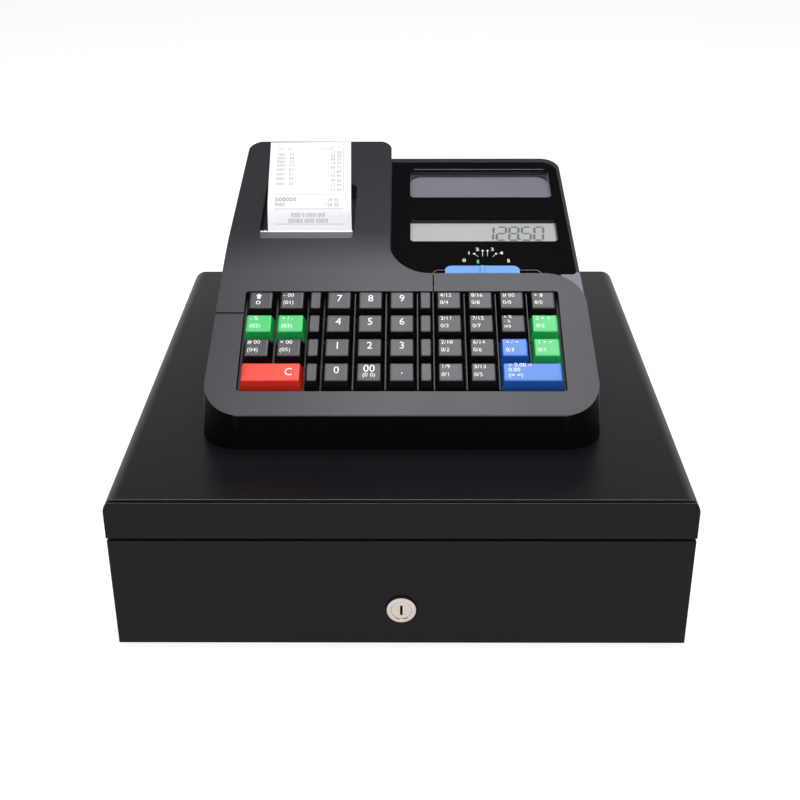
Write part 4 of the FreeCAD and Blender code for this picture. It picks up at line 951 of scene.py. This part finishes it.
def knurlTree(material):
    tree = bpy.data.node_groups.new("knurlRibs", "GeometryNodeTree")
    tree.interface.new_socket(name="Geometry", in_out="OUTPUT",
                              socket_type="NodeSocketGeometry")
    names = {"ribCount": addSocket(tree, "ribCount", "NodeSocketInt", 1)}
    for name in ("wheelRadius", "ribSize", "ribLength"):
        names[name] = addSocket(tree, name, "NodeSocketFloat", 1)
    entry, out = tree.nodes.new("NodeGroupInput"), tree.nodes.new("NodeGroupOutput")
    circle = tree.nodes.new("GeometryNodeMeshCircle")
    rib = tree.nodes.new("GeometryNodeMeshCube")
    size = tree.nodes.new("ShaderNodeCombineXYZ")
    place = tree.nodes.new("GeometryNodeInstanceOnPoints")
    align = tree.nodes.new("FunctionNodeAlignEulerToVector")
    position = tree.nodes.new("GeometryNodeInputPosition")
    whole = tree.nodes.new("GeometryNodeRealizeInstances")
    paint = tree.nodes.new("GeometryNodeSetMaterial")
    paint.inputs["Material"].default_value = material
    align.axis = "X"
    align.pivot_axis = "Z"
    link(tree, entry, "ribCount", circle, "Vertices")
    link(tree, entry, "wheelRadius", circle, "Radius")
    link(tree, entry, "ribSize", size, "X")
    link(tree, entry, "ribSize", size, "Y")
    link(tree, entry, "ribLength", size, "Z")
    link(tree, size, "Vector", rib, "Size")
    link(tree, position, "Position", align, "Vector")
    link(tree, circle, "Mesh", place, "Points")
    link(tree, rib, "Mesh", place, "Instance")
    link(tree, align, "Rotation", place, "Rotation")
    link(tree, place, "Instances", whole, "Geometry")
    link(tree, whole, "Geometry", paint, "Geometry")
    link(tree, paint, "Geometry", out, "Geometry")
    return tree, names


knurlValues = {"ribCount": 40, "wheelRadius": 9.0 * mm, "ribSize": 0.7 * mm,
               "ribLength": 4.4 * mm}
wheelAxis = {"y": 33.5, "z": 169.0, "rimFrom": 8.5}
tree, names = knurlTree(surfaces["blackRubber"])
knurl = addObject("wheel_knurl", bpy.data.meshes.new("wheel_knurl"))
modifier = knurl.modifiers.new("ribs", "NODES")
modifier.node_group = tree
for name, value in knurlValues.items():
    modifier[names[name]] = value
applyModifiers(knurl)
rim = []
for vertex in nodes["platen_roller"].data.vertices:
    point = vertex.co / mm
    if math.hypot(point.y - wheelAxis["y"], point.z - wheelAxis["z"]) > wheelAxis["rimFrom"]:
        rim.append(point.x)
rimMiddle = Vector(((min(rim) + max(rim)) / 2, wheelAxis["y"], wheelAxis["z"])) * mm
layDown = Matrix.Rotation(math.radians(90), 4, "Y")
knurl.data.transform(Matrix.Translation(rimMiddle) @ layDown)
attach(knurl, "platen")
print("knurl made")


# Pointer ridge of the slider and its foot, each as (half width, front, rear, height)

nubShape = {"x": 52.3, "foot": (2.1, -13.6, -2.4, 6.5), "ridge": (1.5, -11.2, -3.0, 7.2),
            "bottom": 4.0, "round": 0.45, "segments": 3, "sharp": 40}
nubBuilder = bmesh.new()
for slotIndex, name in enumerate(("ridge", "foot")):
    half, front, rear, high = nubShape[name]
    made = bmesh.ops.create_cube(nubBuilder, size=1)["verts"]
    for vertex in made:
        x = nubShape["x"] + vertex.co.x * 2 * half
        y = front if vertex.co.y < 0 else rear
        vertex.co = atPanel(x, y, -high if vertex.co.z > 0 else -nubShape["bottom"])
    edges = {edge for vertex in made for edge in vertex.link_edges}
    for face in {face for vertex in made for face in vertex.link_faces}:
        face.material_index = slotIndex
    bmesh.ops.bevel(nubBuilder, geom=list(edges), offset=nubShape["round"] * mm,
                    segments=nubShape["segments"], affect="EDGES")
finishMesh("slider_nub", nubBuilder, "mode", ["sliderBlue", "sliderDark"],
           (), nubShape["sharp"])
print("slider ridge made")


# Floor and world: the camera and mirrors see them bright, other rays see them dim

def seenRays(tree):
    path = tree.nodes.new("ShaderNodeLightPath")
    either = mathNode(tree, "MAXIMUM")
    link(tree, path, "Is Camera Ray", either, 0)
    link(tree, path, "Is Glossy Ray", either, 1)
    seen = mathNode(tree, "MAXIMUM")
    link(tree, either, "Value", seen, 0)
    link(tree, path, "Is Transmission Ray", seen, 1)
    return seen


floorValues = {"size": 12.0, "color": (0.36, 0.36, 0.36), "roughness": 0.7, "specular": 0.2,
               "glowLow": 0.2, "glow": 0.84}
floorBuilder = bmesh.new()
bmesh.ops.create_grid(floorBuilder, x_segments=1, y_segments=1, size=floorValues["size"] / 2)
floor = addObject("floor", meshFrom("floor", floorBuilder, []))
floorMaterial, floorTree, floorShader = shaderOf("paleFloor")
floorShader.inputs["Base Color"].default_value = (*floorValues["color"], 1)
floorShader.inputs["Roughness"].default_value = floorValues["roughness"]
floorShader.inputs["Specular IOR Level"].default_value = floorValues["specular"]
floorShader.inputs["Emission Color"].default_value = (1, 1, 1, 1)
glow = rangeNode(floorTree, floorValues["glowLow"], floorValues["glow"])
link(floorTree, seenRays(floorTree), "Value", glow, "Value")
link(floorTree, glow, "Result", floorShader, "Emission Strength")
floor.data.materials.append(floorMaterial)

worldValues = {"low": 0.15, "horizon": 1.0, "ceiling": 0.02, "ceilingFrom": 0.33,
               "ceilingTo": 0.56}
world = bpy.data.worlds.new("studio")
scene.world = world
world.use_nodes = True
worldTree = world.node_tree
background = worldTree.nodes["Background"]
background.inputs["Color"].default_value = (1, 1, 1, 1)
direction = worldTree.nodes.new("ShaderNodeTexCoord")
parts = worldTree.nodes.new("ShaderNodeSeparateXYZ")
link(worldTree, direction, "Generated", parts, "Vector")
ceiling = rangeNode(worldTree, worldValues["horizon"], worldValues["ceiling"])
ceiling.inputs["From Min"].default_value = worldValues["ceilingFrom"]
ceiling.inputs["From Max"].default_value = worldValues["ceilingTo"]
link(worldTree, parts, "Z", ceiling, "Value")
strength = worldTree.nodes.new("ShaderNodeMix")
strength.inputs["A"].default_value = worldValues["low"]
link(worldTree, seenRays(worldTree), "Value", strength, "Factor")
link(worldTree, ceiling, "Result", strength, "B")
link(worldTree, strength, "Result", background, "Strength")


# Lights and camera

lampValues = {
    "topBox": {"place": (0.045, -0.01, 1.45), "size": (1.42, 0.7), "power": 17.6},
    "leftBox": {"place": (-1.4, -0.5, 0.9), "size": (0.8, 1.2), "power": 2.0},
    "rightBox": {"place": (1.4, -0.5, 0.9), "size": (0.8, 1.2), "power": 2.0},
    "frontBox": {"place": (0, -1.7, 1.0), "size": (1.6, 0.7), "power": 16.0}}
lampTarget = Vector((0, 0, 0.1))
for name, user in lampValues.items():
    light = bpy.data.lights.new(name, "AREA")
    light.shape = "RECTANGLE"
    light.size, light.size_y = user["size"]
    light.energy = user["power"]
    holder = addObject(name, light)
    way = lampTarget - Vector(user["place"])
    holder.rotation_euler = way.to_track_quat("-Z", "Y").to_euler()
    holder.location = user["place"]

cameraValues = {"place": (0.0038, -0.7836, 0.4729), "pitch": 26.805, "yaw": -0.399,
                "roll": -0.170, "lens": 57.29, "sensor": 36.0, "near": 0.01}
camera = bpy.data.cameras.new("camera")
camera.lens = cameraValues["lens"]
camera.sensor_width = cameraValues["sensor"]
camera.clip_start = cameraValues["near"]
cameraHolder = addObject("camera", camera)
pitch, yaw, roll = (math.radians(cameraValues[name]) for name in ("pitch", "yaw", "roll"))
forward = Vector((math.sin(yaw) * math.cos(pitch), math.cos(yaw) * math.cos(pitch),
                  -math.sin(pitch)))
level = Vector((math.cos(yaw), -math.sin(yaw), 0))
upright = level.cross(forward)
sideways = level * math.cos(roll) + upright * math.sin(roll)
upwards = upright * math.cos(roll) - level * math.sin(roll)
turn = Matrix((sideways, upwards, -forward)).transposed()
cameraHolder.matrix_world = Matrix.Translation(cameraValues["place"]) @ turn.to_4x4()
scene.camera = cameraHolder
scene.view_settings.view_transform = "Standard"
print("stage made")
